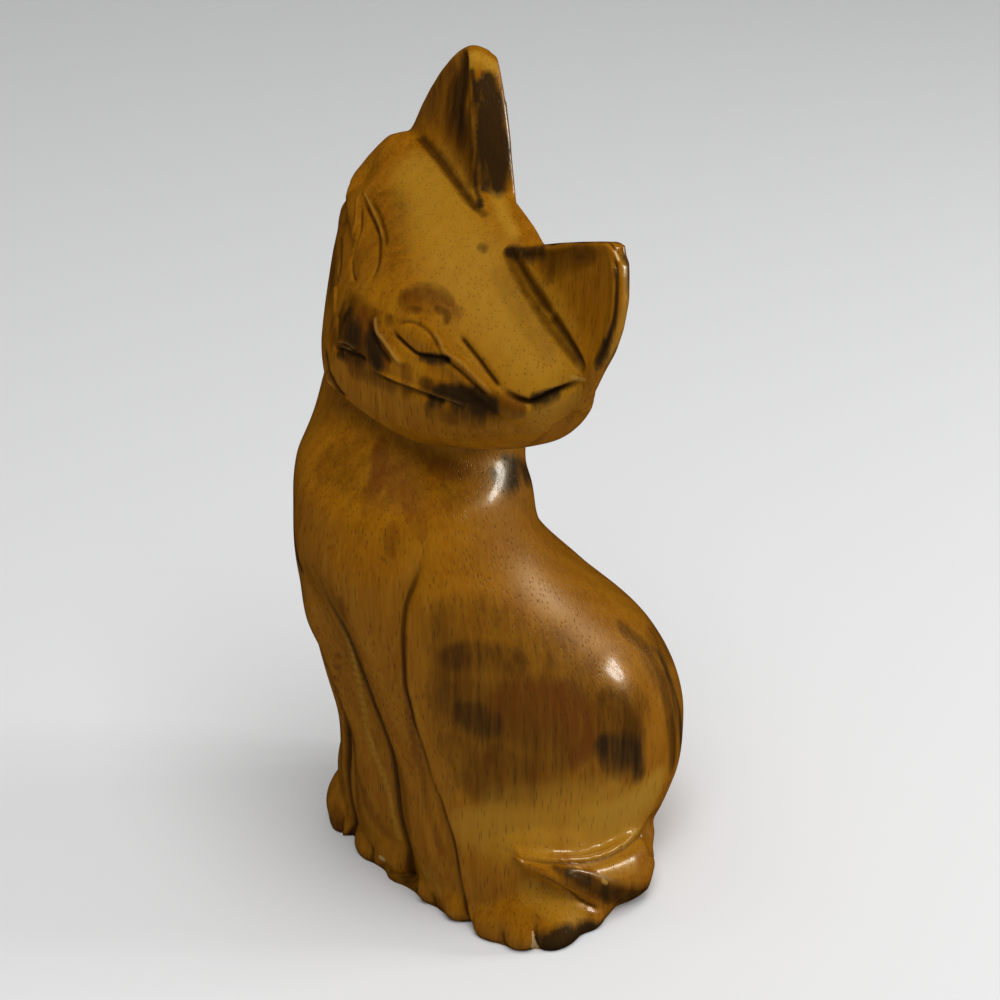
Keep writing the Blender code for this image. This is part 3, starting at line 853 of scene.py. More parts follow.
def wedge_tree():
    tree = bpy.data.node_groups.new("Toe notches", "GeometryNodeTree")
    tree.interface.new_socket("Places", in_out="INPUT", socket_type="NodeSocketGeometry")
    for label in ("Reach", "Height"):
        tree.interface.new_socket(label, in_out="INPUT", socket_type="NodeSocketFloat")
    tree.interface.new_socket("Wood", in_out="INPUT", socket_type="NodeSocketMaterial")
    tree.interface.new_socket("Wedges", in_out="OUTPUT", socket_type="NodeSocketGeometry")
    given, result = tree.nodes.new("NodeGroupInput"), tree.nodes.new("NodeGroupOutput")
    cone = tree.nodes.new("GeometryNodeMeshCone")
    cone.inputs["Vertices"].default_value = 4
    outward = stored_value(tree, "outward", "FLOAT_VECTOR")
    size = stored_value(tree, "size", "FLOAT")
    turn = tree.nodes.new("FunctionNodeAlignRotationToVector")
    turn.axis, turn.pivot_axis = "X", "Z"
    copies = tree.nodes.new("GeometryNodeInstanceOnPoints")
    real = tree.nodes.new("GeometryNodeRealizeInstances")
    finish = tree.nodes.new("GeometryNodeSetMaterial")
    for start, end in (
        (given.outputs["Reach"], cone.inputs["Radius Bottom"]),
        (given.outputs["Height"], cone.inputs["Depth"]),
        (given.outputs["Places"], copies.inputs["Points"]),
        (cone.outputs["Mesh"], copies.inputs["Instance"]),
        (outward.outputs["Attribute"], turn.inputs["Vector"]),
        (turn.outputs["Rotation"], copies.inputs["Rotation"]),
        (size.outputs["Attribute"], copies.inputs["Scale"]),
        (copies.outputs["Instances"], real.inputs["Geometry"]),
        (real.outputs["Geometry"], finish.inputs["Geometry"]),
        (given.outputs["Wood"], finish.inputs["Material"]),
        (finish.outputs["Geometry"], result.inputs["Wedges"]),
    ):
        tree.links.new(start, end)
    return tree


def wedges(skin):
    """Mesh with a wedge at every notch, facing out of the foot."""
    places = [Vector(skin.seen((notch.x, notch.y))[0]) for notch in NOTCHES]
    for notch in HIDDEN_NOTCHES:
        places.append(skin.tree.find_nearest(Vector((notch.x, notch.y, NOTCH_LEVEL)))[0])
    mesh = bpy.data.meshes.new("notch places")
    mesh.from_pydata([(place.x, place.y, NOTCH_FOOT) for place in places], [], [])
    outward = mesh.attributes.new("outward", "FLOAT_VECTOR", "POINT")
    share = mesh.attributes.new("size", "FLOAT", "POINT")
    for i, notch in enumerate(NOTCHES + HIDDEN_NOTCHES):
        normal = skin.tree.find_nearest(places[i])[1]
        outward.data[i].vector = (normal.x, normal.y, 0.0)
        share.data[i].value = notch.size
    item = put("notches", mesh)
    nodes = item.modifiers.new("Notches", "NODES")
    nodes.node_group = wedge_tree()
    sockets = {socket.name: socket.identifier for socket in nodes.node_group.interface.items_tree}
    nodes[sockets["Reach"]] = NOTCH_REACH
    nodes[sockets["Height"]] = NOTCH_HEIGHT
    baked(item)
    result = item.data
    bpy.data.objects.remove(item, do_unlink=True)
    print("wedges:", len(places), "faces:", len(result.polygons))
    return result


# %% [markdown]
# ## Lines of the body
#
# The lines are drawn on the uncarved block first, because the skin is refined along them. A
# long line parts the haunch from the foreleg and another parts the two forelegs. Short lines
# set the tail over the paw. The hidden haunch gets the mirrored line.

# %% Draw the body's lines
BODY_SIGHTS = {
    "haunch edge": [
        (426, 540), (424, 552), (420, 570), (415, 585), (408, 603), (404, 620), (402, 640),
        (402, 660), (404, 690), (408, 705), (413, 730), (420, 750), (428, 780), (437, 800),
        (443, 820), (450, 840), (454, 860), (457, 880), (462, 900), (470, 918), (476, 930),
    ],
    "foreleg edge": [(347, 715), (350, 745), (352, 765), (355, 790), (358, 820), (368, 845)],
    "haunch hem": [
        (484, 842), (500, 849), (515, 855), (525, 859), (560, 861), (600, 858), (618, 851),
        (634, 841), (648, 829),
    ],
    "paw line": [
        (520, 868), (540, 877), (555, 884), (570, 893), (580, 900), (590, 905), (600, 909),
    ],
    "tail ridge": [(530, 863), (556, 865), (578, 869), (604, 881), (625, 888), (650, 884)],
}
MIDDLE_AIMS = [
    (-5, -56, 107), (-2, -56, 96), (0, -51, 75), (0, -43, 48), (0, -38, 22), (0, -36, 0),
]
SHOULDER_AIMS = [(20.5, -39, 112), (22, -43, 105), (23, -46, 96), (22, -47, 80), (21, -45, 70)]

BODY_FINE_MARGIN = 2.4

skin = Skin(body, BODY_FRAME)
lines = {name: skin.seen(*places) for name, places in BODY_SIGHTS.items()}
notch_mesh = wedges(skin)
drawn = [skin.line(aims) for aims in lines.values()]
drawn += [skin.line(MIDDLE_AIMS), skin.line(mirrored(lines["haunch edge"]))]
refine(body, drawn, BODY_FINE_MARGIN)
cut_away(body, notch_mesh, BODY_FRAME)
cut_away(body, slab_mesh(*BELOW_FLOOR), BODY_FRAME)
cut_away(body, slab_mesh(*ABOVE_SEAT), HEAD_FRAME)
cut_away(body, bore_mesh(), HEAD_FRAME)
print("haunch line in mm:", [round(value, 1) for value in lines["haunch edge"][10]])

# %% [markdown]
# ## Legs, paw and tail
#
# The line between the forelegs is a wide round trough with a sharp V at its bottom. The haunch
# line has a steep wall under the haunch and a long slope out to the foreleg, so the haunch
# reads as lying on top. The tail keeps a ridge between an upper and a lower facet. A swell is
# given by its place in the camera's frame, its radius and its height in millimetres.

# %% Carve the body
BODY_SWELLS = (
    (343, 826, 7.0, 2.2),
    (360, 842, 6.5, 2.1),
    (391, 865, 6.5, 2.6),
    (423, 890, 5.5, 2.0),
    (455, 908, 6.5, 2.4),
    (482, 926, 7.0, 2.2),
    (520, 940, 6.0, 1.8),
    (562, 936, 7.5, 2.4),
    (596, 920, 6.0, 1.2),
    (622, 700, 13.0, 1.8),
    (680, 768, 13.0, 0.9),
    (652, 829, 7.0, -2.4),
    (652, 843, 6.0, -1.4),
    (644, 888, 8.0, 1.6),
    (351, 838, 5.0, 1.4),
    (371, 856, 5.5, 1.4),
    (396, 876, 5.5, 1.4),
    (460, 914, 5.5, 1.0),
    (545, 940, 6.0, 1.4),
    (532, 482, 14.0, 1.2),
    (314, 404, 13.0, -2.3),
    (312, 620, 12.0, 1.0),
)
HAUNCH_DEEP_FROM = 8
TOE_TOP, TOE_MIDDLE, TOE_WIDTH = 9.0, 4.0, 2.6

skin = Skin(body, BODY_FRAME)
trough(skin, MIDDLE_AIMS, 9.5, 4.4, ends=(0.3, 0.0))
gouge(skin, MIDDLE_AIMS, 2.4, 1.5, 1.1, ends=(0.25, 0.0), shade_strength=0.75, shade_width=1.0)
gouge(skin, SHOULDER_AIMS, 3.0, 9.0, 0.8, ends=(0.6, 0.3))
gouge(skin, mirrored(SHOULDER_AIMS), 9.0, 3.0, 0.8, ends=(0.6, 0.3))
haunch = lines["haunch edge"]
for aims, left, right in ((haunch, 1.7, 8.5), (mirrored(haunch), 8.5, 1.7)):
    gouge(skin, aims, left, right, 1.5, ends=(0.12, 0.0), shade_strength=0.7)
    lower = aims[HAUNCH_DEEP_FROM:]
    gouge(skin, lower, left, right, 1.3, ends=(0.4, 0.0), shade_strength=0.8, shade_width=0.8)
gouge(skin, lines["foreleg edge"], 4.0, 2.0, 0.8, ends=(0.4, 0.3), shade_strength=0.45, shade_width=0.9)
gouge(skin, lines["haunch hem"], 1.5, 3.4, 1.5, ends=(0.35, 0.0), shade_strength=0.5, shade_width=0.45)
gouge(skin, lines["paw line"], 1.2, 2.4, 0.9, ends=(0.2, 0.1), shade_strength=0.6, shade_width=0.5)
ridge(skin, lines["tail ridge"], 1.6, 0.3, rub=0.2, ends=(0.3, 0.1))
for x, y, size in NOTCHES:
    foot = Vector(skin.seen((x, y))[0])
    aims = [(foot.x, foot.y, height) for height in (TOE_TOP * size, TOE_MIDDLE, 0.0)]
    gouge(skin, aims, TOE_WIDTH, TOE_WIDTH, size, ends=(0.6, 0.0), shade_strength=0.7, shade_width=0.6)
for x, y, radius, height in BODY_SWELLS:
    swell(skin, (x, y), radius, height)
settle(skin, 2)
print("body points:", len(skin.points), "deepest cut in mm:", deepest(skin))

# %% [markdown]
# ## Scorch, stain and painted light on the body
#
# The flame left black patches with streaky lower edges on the rump, the tail and one toe. Brown
# stain lies in broad bands over the haunch, and red stain between them. The wood below stays
# paler. Painted shade lies on the chest under the head, in front of the haunch's edge, in the
# groove between the forelegs, in the carved grooves and along the floor. The lower right of the
# haunch has a painted sheen, and painted highlights run along the foreleg's edge and the tail
# ridge. Every mark is a run of dabs at the places where it is seen; x, y and radius are in units
# of the camera's frame.

# %% Colour the body
BODY_MARKS = (
    ("scorch_and_shade", 1.0, (496, 474, 7), (504, 476, 11), (512, 473, 9)),
    ("scorch_and_shade", 0.8, (506, 462, 8), (518, 466, 9), (526, 478, 7)),
    ("scorch_and_shade", 0.8, (602, 742, 10), (616, 746, 15), (630, 752, 15), (638, 762, 11), (642, 771, 7)),
    ("umber_and_shade", 0.9, (602, 694, 12), (614, 706, 16), (626, 720, 16), (638, 738, 14)),
    ("umber_and_shade", 0.7, (622, 628, 8), (640, 642, 9), (655, 662, 11), (664, 686, 12), (668, 708, 10)),
    ("umber_and_shade", 0.9, (670, 720, 11), (673, 740, 10), (672, 758, 8)),
    ("scorch_and_shade", 0.65, (660, 655, 6), (671, 682, 8), (678, 712, 10), (680, 745, 9)),
    ("scorch_and_shade", 0.4, (462, 708, 9), (478, 714, 12), (494, 722, 9)),
    ("scorch_and_shade", 0.75, (568, 873, 4), (578, 876, 6), (588, 879, 4)),
    (
        "umber_and_shade", 1.0, (556, 868, 4), (572, 874, 6), (590, 882, 7), (610, 889, 9), (632, 893, 10),
        (645, 888, 8),
    ),
    ("scorch_and_shade", 0.5, (602, 889, 6), (616, 896, 8), (632, 900, 9), (644, 894, 8)),
    ("scorch_and_shade", 1.0, (542, 938, 9), (553, 935, 11), (566, 933, 12), (582, 930, 11), (598, 926, 8)),
    ("russet_and_shade", 0.9, (338, 812, 7), (342, 822, 6)),
    ("scorch_and_shade", 0.35, (338, 820, 6)),
    ("scorch_and_shade", 0.8, (294, 530, 3), (296, 550, 4), (300, 568, 3)),
    ("umber_and_shade", 0.85, (448, 656, 13), (462, 652, 15), (480, 653, 16), (500, 655, 15), (518, 662, 14)),
    ("scorch_and_shade", 0.25, (452, 654, 10), (470, 650, 12), (488, 652, 10)),
    ("umber_and_shade", 0.5, (450, 682, 14), (474, 682, 20), (504, 684, 22), (534, 688, 20)),
    ("umber_and_shade", 0.65, (446, 674, 14), (474, 674, 17), (506, 676, 18), (536, 680, 18)),
    ("umber_and_shade", 0.55, (532, 660, 18), (556, 668, 20), (580, 676, 20)),
    (
        "umber_and_shade", 0.4, (446, 622, 24), (480, 626, 30), (515, 642, 32), (552, 660, 32),
        (598, 690, 28), (636, 716, 22),
    ),
    ("umber_and_shade", 0.6, (470, 694, 34), (520, 700, 44), (566, 706, 44), (604, 716, 34)),
    ("umber_and_shade", 0.75, (448, 690, 18), (480, 694, 26), (520, 694, 32), (560, 700, 32), (592, 716, 24)),
    ("umber_and_shade", 0.55, (452, 740, 14), (476, 756, 18), (506, 764, 20), (540, 764, 20), (566, 752, 18)),
    (
        "umber_and_shade", 0.8, (456, 706, 14), (476, 712, 20), (500, 716, 22), (524, 720, 24),
        (552, 730, 24), (578, 738, 20),
    ),
    ("umber_and_shade", 0.7, (495, 750, 14), (520, 764, 16), (548, 762, 15), (568, 752, 12)),
    ("umber_and_shade", 0.5, (466, 776, 12), (482, 780, 13), (500, 780, 12)),
    ("umber_and_shade", 0.7, (590, 716, 9), (606, 724, 9), (622, 734, 8)),
    ("umber_and_shade", 0.6, (560, 869, 5), (590, 876, 6), (612, 886, 6)),
    ("umber_and_shade", 0.5, (292, 545, 4), (296, 570, 4)),
    # painted shade: the chest is darkened under the head
    ("umber_and_shade", 0.36, (335, 462, 20), (362, 466, 28), (400, 472, 28), (440, 478, 24)),
    ("russet_and_shade", 0.75, (500, 700, 14), (530, 694, 16), (560, 702, 18), (584, 718, 16)),
    ("russet_and_shade", 0.85, (540, 690, 11), (556, 698, 12), (572, 708, 10)),
    ("russet_and_shade", 0.9, (588, 730, 8), (590, 738, 9), (577, 750, 9), (574, 762, 6)),
    ("russet_and_shade", 0.9, (488, 757, 5)),
    ("russet_and_shade", 0.8, (381, 440, 5), (380, 455, 7), (380, 470, 7), (378, 486, 5)),
    ("russet_and_shade", 0.5, (393, 468, 4), (393, 482, 5), (391, 492, 4)),
    ("russet_and_shade", 0.5, (372, 486, 5), (367, 500, 5), (364, 512, 4)),
    ("russet_and_shade", 0.5, (402, 484, 6), (409, 500, 8), (416, 516, 8), (421, 530, 6)),
    ("russet_and_shade", 0.5, (392, 526, 5), (391, 538, 7), (391, 550, 5)),
    ("russet_and_shade", 0.6, (340, 600, 4), (340, 610, 5), (341, 618, 4)),
    ("russet_and_shade", 0.7, (432, 466, 7), (446, 469, 8), (462, 470, 7)),
    ("pale", 0.65, (468, 822, 16), (500, 822, 20), (540, 824, 24)),
    # painted sheen: the lower right of the haunch is made paler where the side light glances off it
    ("pale", 0.95, (585, 822, 26), (625, 808, 24), (655, 782, 16)),
    ("rub", 0.4, (600, 818, 16), (626, 806, 18), (646, 790, 14)),
    ("pale", 0.5, (500, 800, 18), (560, 800, 20), (610, 790, 18)),
    ("pale", 0.5, (600, 868, 8), (628, 862, 9)),
    ("pale", 0.6, (530, 888, 12), (556, 904, 12), (580, 912, 8)),
    ("pale", 0.35, (428, 872, 10), (436, 890, 8)),
    # painted highlight: a pale line along the lit edge of the foreleg
    (
        "pale", 0.8, (314, 580, 2.5), (330, 636, 3), (346, 690, 3), (362, 744, 3), (377, 800, 3),
        (388, 846, 3),
    ),
    # painted shade: dark lines in front of the haunch's edge and in the groove between the forelegs
    ("russet_and_shade", 0.6, (404, 640, 3), (404, 690, 4), (412, 750, 4), (426, 806, 4), (440, 852, 4)),
    ("russet_and_shade", 0.6, (330, 660, 3), (346, 730, 4), (362, 790, 4), (378, 836, 4)),
    ("bare", 1.0, (380, 857, 2.5), (384, 860, 2)),
    ("bare", 1.0, (413, 883, 2), (413, 888, 2)),
    ("bare", 0.85, (533, 932, 1), (533, 938, 2), (534, 944, 3.5), (538, 947, 2)),
    ("bare", 0.8, (522, 861, 2)),
    # painted highlights on the tail ridge
    ("rub", 0.9, (577, 866, 2.5), (581, 867, 2)),
    ("rub", 0.9, (602, 880, 2.5), (606, 882, 2)),
)
HIDDEN_BODY_MARKS = (
    ("scorch_and_shade", 0.9, (-38.0, 10.0, 54.0, 5.0), (-39.5, 3.0, 49.0, 6.0), (-39.0, -5.0, 47.0, 4.0)),
    ("scorch_and_shade", 0.9, (-45.0, -16.0, 5.0, 4.0), (-45.5, -9.0, 4.0, 5.0)),
    ("scorch_and_shade", 0.8, (-5.0, 46.0, 47.0, 4.0), (4.0, 46.5, 46.0, 6.0), (12.0, 45.0, 48.0, 4.0)),
    ("umber_and_shade", 0.7, (-34.0, -24.0, 56.0, 5.0), (-38.0, -10.0, 60.0, 7.0), (-38.0, 6.0, 62.0, 6.0)),
    (
        "umber_and_shade", 0.6, (-30.0, 16.0, 64.0, 5.0), (-14.0, 34.0, 56.0, 6.0), (12.0, 38.0, 55.0, 6.0),
        (30.0, 22.0, 60.0, 5.0),
    ),
    ("umber_and_shade", 0.5, (-27.0, -36.0, 90.0, 3.0), (-31.0, -24.0, 86.0, 4.0), (-31.5, -8.0, 78.0, 4.0)),
    ("russet_and_shade", 0.6, (-37.0, -14.0, 50.0, 5.0), (-39.0, 2.0, 40.0, 6.0)),
    ("pale", 0.8, (-36.0, -22.0, 30.0, 7.0), (-39.0, -8.0, 28.0, 8.0), (-38.0, 10.0, 28.0, 8.0)),
    ("pale", 0.7, (-24.0, 34.0, 26.0, 8.0), (0.0, 44.0, 26.0, 9.0), (24.0, 34.0, 26.0, 8.0)),
)
FLOOR_SHADE, FLOOR_SHADE_HEIGHT = 0.6, 2.4

paint(skin, BODY_MARKS, HIDDEN_BODY_MARKS)
# painted shade: the wood is darkened within a few millimetres of the floor
near_floor = eased((FLOOR_SHADE_HEIGHT - skin.points[:, 2]) / FLOOR_SHADE_HEIGHT)
skin.cloud("scorch_and_shade", slice(None), FLOOR_SHADE * near_floor)
print("body height in mm:", store(skin))

# %% [markdown]
# ## Lines of the head
#
# Each eye is an almond left standing between two curved grooves. Over it runs the thin ridge of
# the lid, and a fold over that. A flat ridge frames the nose, a long thin ridge crosses the
# cheek like a whisker, and a deep crease parts the forehead from the cheek. The right ear's edge
# is drawn only to have fine faces there, for the soot.

# %% Draw the head's lines
HEAD_SIGHTS = {
    "right lid groove": [
        (363, 198), (368, 210), (374, 222), (378, 232), (380, 242), (380, 255), (378, 265),
        (374, 274), (370, 281), (366, 286),
    ],
    "right lid ridge": [(362, 188), (366, 196), (371, 206), (377, 219), (381, 230), (383, 244)],
    "right fold": [(370, 198), (377, 209), (382, 221), (386, 236), (387, 250)],
    "right lower groove": [
        (361, 203), (361, 218), (360, 230), (357, 240), (354, 250), (352, 260), (352, 270),
        (354, 278), (358, 283),
    ],
    "right lower ridge": [(358, 193), (357, 208), (356, 224), (352, 240)],
    "right cheek crease": [
        (348, 190), (343, 205), (341, 228), (340, 253), (339, 270), (336, 285), (331, 302),
    ],
    "left lid ridge": [
        (426, 326), (433, 331), (438, 337), (443, 345), (446, 352), (452, 357), (462, 363),
        (470, 371), (480, 381), (490, 391), (500, 401),
    ],
    "left lid shade": [(441, 354), (449, 363), (459, 371), (468, 379), (478, 389), (488, 399)],
    "left fold": [
        (458, 333), (464, 340), (472, 350), (480, 360), (487, 370), (493, 378), (502, 390),
    ],
    "left upper groove": [(396, 326), (408, 322), (421, 326), (431, 334), (437, 343), (440, 352)],
    "left lower groove": [
        (392, 328), (396, 335), (404, 343), (410, 348), (418, 354), (432, 357), (445, 358),
        (457, 360),
    ],
    "bridge ridge": [(376, 311), (377, 330), (384, 340), (391, 350), (398, 360), (405, 366)],
    "nose side": [(369, 318), (370, 332), (376, 345), (384, 356), (392, 366)],
    "whisker ridge": [
        (368, 368), (380, 372), (395, 379), (410, 385), (425, 391), (440, 397), (455, 402),
        (466, 406), (478, 408),
    ],
    "whisker shade": [(372, 373), (386, 379), (402, 387), (418, 393), (434, 400), (450, 406)],
    "cheek crease": [
        (587, 380), (582, 382), (575, 384), (560, 390), (550, 394), (540, 399), (530, 402),
        (520, 399), (508, 393), (496, 382),
    ],
    "mouth": [(334, 347), (342, 350), (350, 354), (359, 357), (368, 362)],
    "mouth ridge": [(336, 342), (345, 342), (352, 346), (359, 350)],
    "chin line": [(325, 350), (327, 362), (330, 375), (335, 385), (341, 393), (350, 399)],
    "right ear foot": [
        (410, 128), (425, 143), (440, 160), (455, 180), (468, 197), (480, 212), (487, 218),
    ],
    "right ear edge": [(471, 68), (475, 100), (477, 150), (477, 180), (482, 205)],
    "left ear foot": [
        (508, 243), (516, 256), (527, 275), (538, 293), (548, 308), (558, 324), (568, 340),
        (578, 357), (587, 373),
    ],
    "left ear rim": [
        (608, 249), (616, 262), (618, 278), (617, 295), (615, 316), (610, 336), (602, 354),
        (595, 368),
    ],
}
CHEEK_AIMS = [
    (37, -13, 5.2), (31.5, -16.5, 0.7), (26, -20, -2.7), (20.5, -22.5, -5.5), (13, -26.3, -9.7),
]
HEAD_FINE_MARGIN = 1.7

skin = Skin(head, HEAD_FRAME)
lines = {name: skin.seen(*places) for name, places in HEAD_SIGHTS.items()}
whisker_far, mouth_far = mirrored(lines["whisker ridge"]), mirrored(lines["mouth"])
drawn = [skin.line(aims) for aims in (*lines.values(), whisker_far, mouth_far)]
refine(head, drawn, HEAD_FINE_MARGIN)
cut_away(head, slab_mesh(*BELOW_SEAT), BODY_FRAME)
cut_away(head, bore_mesh(), BODY_FRAME)
print("cheek crease in mm:", [round(value, 1) for value in lines["cheek crease"][0]])

# %% Carve the eyes
HEAD_SWELLS = (
    (420, 338, (8.0, 6.0, 5.0), 0.8),
    (369, 258, (6.0, 8.0, 8.0), 0.6),
    (585, 424, (12.0, 12.0, 9.0), -2.6),
    (566, 436, (10.0, 10.0, 8.0), -2.2),
    (572, 430, (9.0, 9.0, 8.0), -1.8),
    (626, 246, 4.5, -2.6),
    (358, 168, 8.0, -1.8),
    (344, 208, 7.0, 1.0),
    (352, 178, 9.0, -1.7),
    (394, 142, (9.0, 7.0, 7.0), 1.5),
)

skin = Skin(head, HEAD_FRAME)
for x, y, radii, height in HEAD_SWELLS:
    swell(skin, (x, y), radii, height)
gouge(skin, lines["left upper groove"], 1.1, 1.1, 0.7, shade_strength=0.45, shade_width=0.35)
gouge(skin, lines["left lower groove"], 1.0, 1.2, 1.1, shade_strength=0.9, shade_width=0.45)
gouge(skin, lines["left lid shade"], 1.4, 1.0, 0.7, shade_strength=0.6, shade_width=0.45)
ridge(skin, lines["left lid ridge"], 1.6, 1.3, rub=0.5)
gouge(skin, lines["left fold"], 1.5, 1.3, 1.1, shade_strength=0.8, shade_width=0.5)
gouge(skin, lines["right lid groove"], 1.0, 1.0, 0.8, shade_strength=0.7, shade_width=0.35)
gouge(skin, lines["right lower groove"], 1.0, 1.0, 0.8, shade_strength=0.65, shade_width=0.35)
ridge(skin, lines["right lid ridge"], 0.8, 0.5, rub=0.6)
gouge(skin, lines["right fold"], 0.9, 0.9, 0.6, shade_strength=0.6, shade_width=0.35)
ridge(skin, lines["right lower ridge"], 0.8, 0.4, rub=0.5)
print("head points:", len(skin.points), "deepest cut in mm:", deepest(skin))

# %% [markdown]
# ## Nose, mouth and cheeks
#
# The nose is a plain block with a flat ridge beside it, and the mouth is one gouge line under
# it. The whisker ridge and the mouth are cut on the hidden side too, mirrored, because they show
# from there. The crease between forehead and cheek is the deepest cut of the face.

# %% Carve nose, mouth and cheeks
ridge(skin, lines["bridge ridge"], 1.2, 0.7, rub=0.7)
gouge(skin, lines["nose side"], 1.6, 1.2, 1.0, shade_strength=0.7, shade_width=0.6)
for aims in (lines["whisker ridge"], whisker_far):
    ridge(skin, aims, 0.8, 0.6, rub=0.45, ends=(0.08, 0.2))
gouge(skin, lines["whisker shade"], 0.9, 0.9, 0.5, shade_strength=0.55, shade_width=0.4)
gouge(skin, lines["mouth"], 1.3, 1.6, 1.1, shade_strength=0.8, shade_width=0.5)
gouge(skin, mouth_far, 1.6, 1.3, 1.1, shade_strength=0.8, shade_width=0.5)
ridge(skin, lines["mouth ridge"], 0.8, 0.5, rub=0.5)
gouge(skin, lines["chin line"], 1.4, 1.4, 0.5, shade_strength=0.6, shade_width=0.5)
gouge(skin, CHEEK_AIMS, 2.6, 2.6, 0.9, ends=(0.4, 0.3))
gouge(skin, lines["cheek crease"], 2.6, 1.4, 1.9, ends=(0.3, 0.35), shade_strength=1.0, shade_width=0.8)
gouge(skin, lines["right cheek crease"], 1.4, 2.6, 1.6, shade_strength=0.9)
print("deepest cut in mm:", deepest(skin))

# %% [markdown]
# ## Ears
#
# The front of each ear is slightly dished. A dark line follows the left ear's outer rim, and a
# crease runs where the dish meets the forehead.

# %% Carve the ears
DISH_DEPTH, DISH_RIM, DISH_FOOT, DISH_RISE, DISH_FRONT = 1.3, 5.0, 25.0, 6.0, -6.0

points = skin.points
for side, table in ((-1, RIGHT_EAR), (1, LEFT_EAR)):
    across = points[:, 0] * side
    heights = [ring.height for ring in table]
    inner = np.interp(points[:, 2], heights, [ring.front_inner for ring in table])
    outer = np.interp(points[:, 2], heights, [ring.outer for ring in table])
    inside = np.minimum(across - inner, outer - across)
    above = points[:, 2] - (DISH_FOOT - BROW_DROOP * across)
    facing = np.clip(-skin.normals[:, 1], 0.0, 1.0) * (points[:, 1] > DISH_FRONT)
    skin.push -= DISH_DEPTH * eased(inside / DISH_RIM) * eased(above / DISH_RISE) * facing
gouge(skin, lines["right ear foot"], 2.0, 2.0, 0.9, shade_strength=0.5, shade_width=0.9)
gouge(skin, lines["left ear foot"], 1.3, 5.0, 1.7, ends=(0.08, 0.12), shade_strength=0.6, shade_width=0.5)
gouge(skin, lines["left ear rim"], 0.9, 0.9, 0.5, shade_strength=0.7, shade_width=0.45)
settle(skin, 1)
print("deepest cut in mm, settled:", deepest(skin))
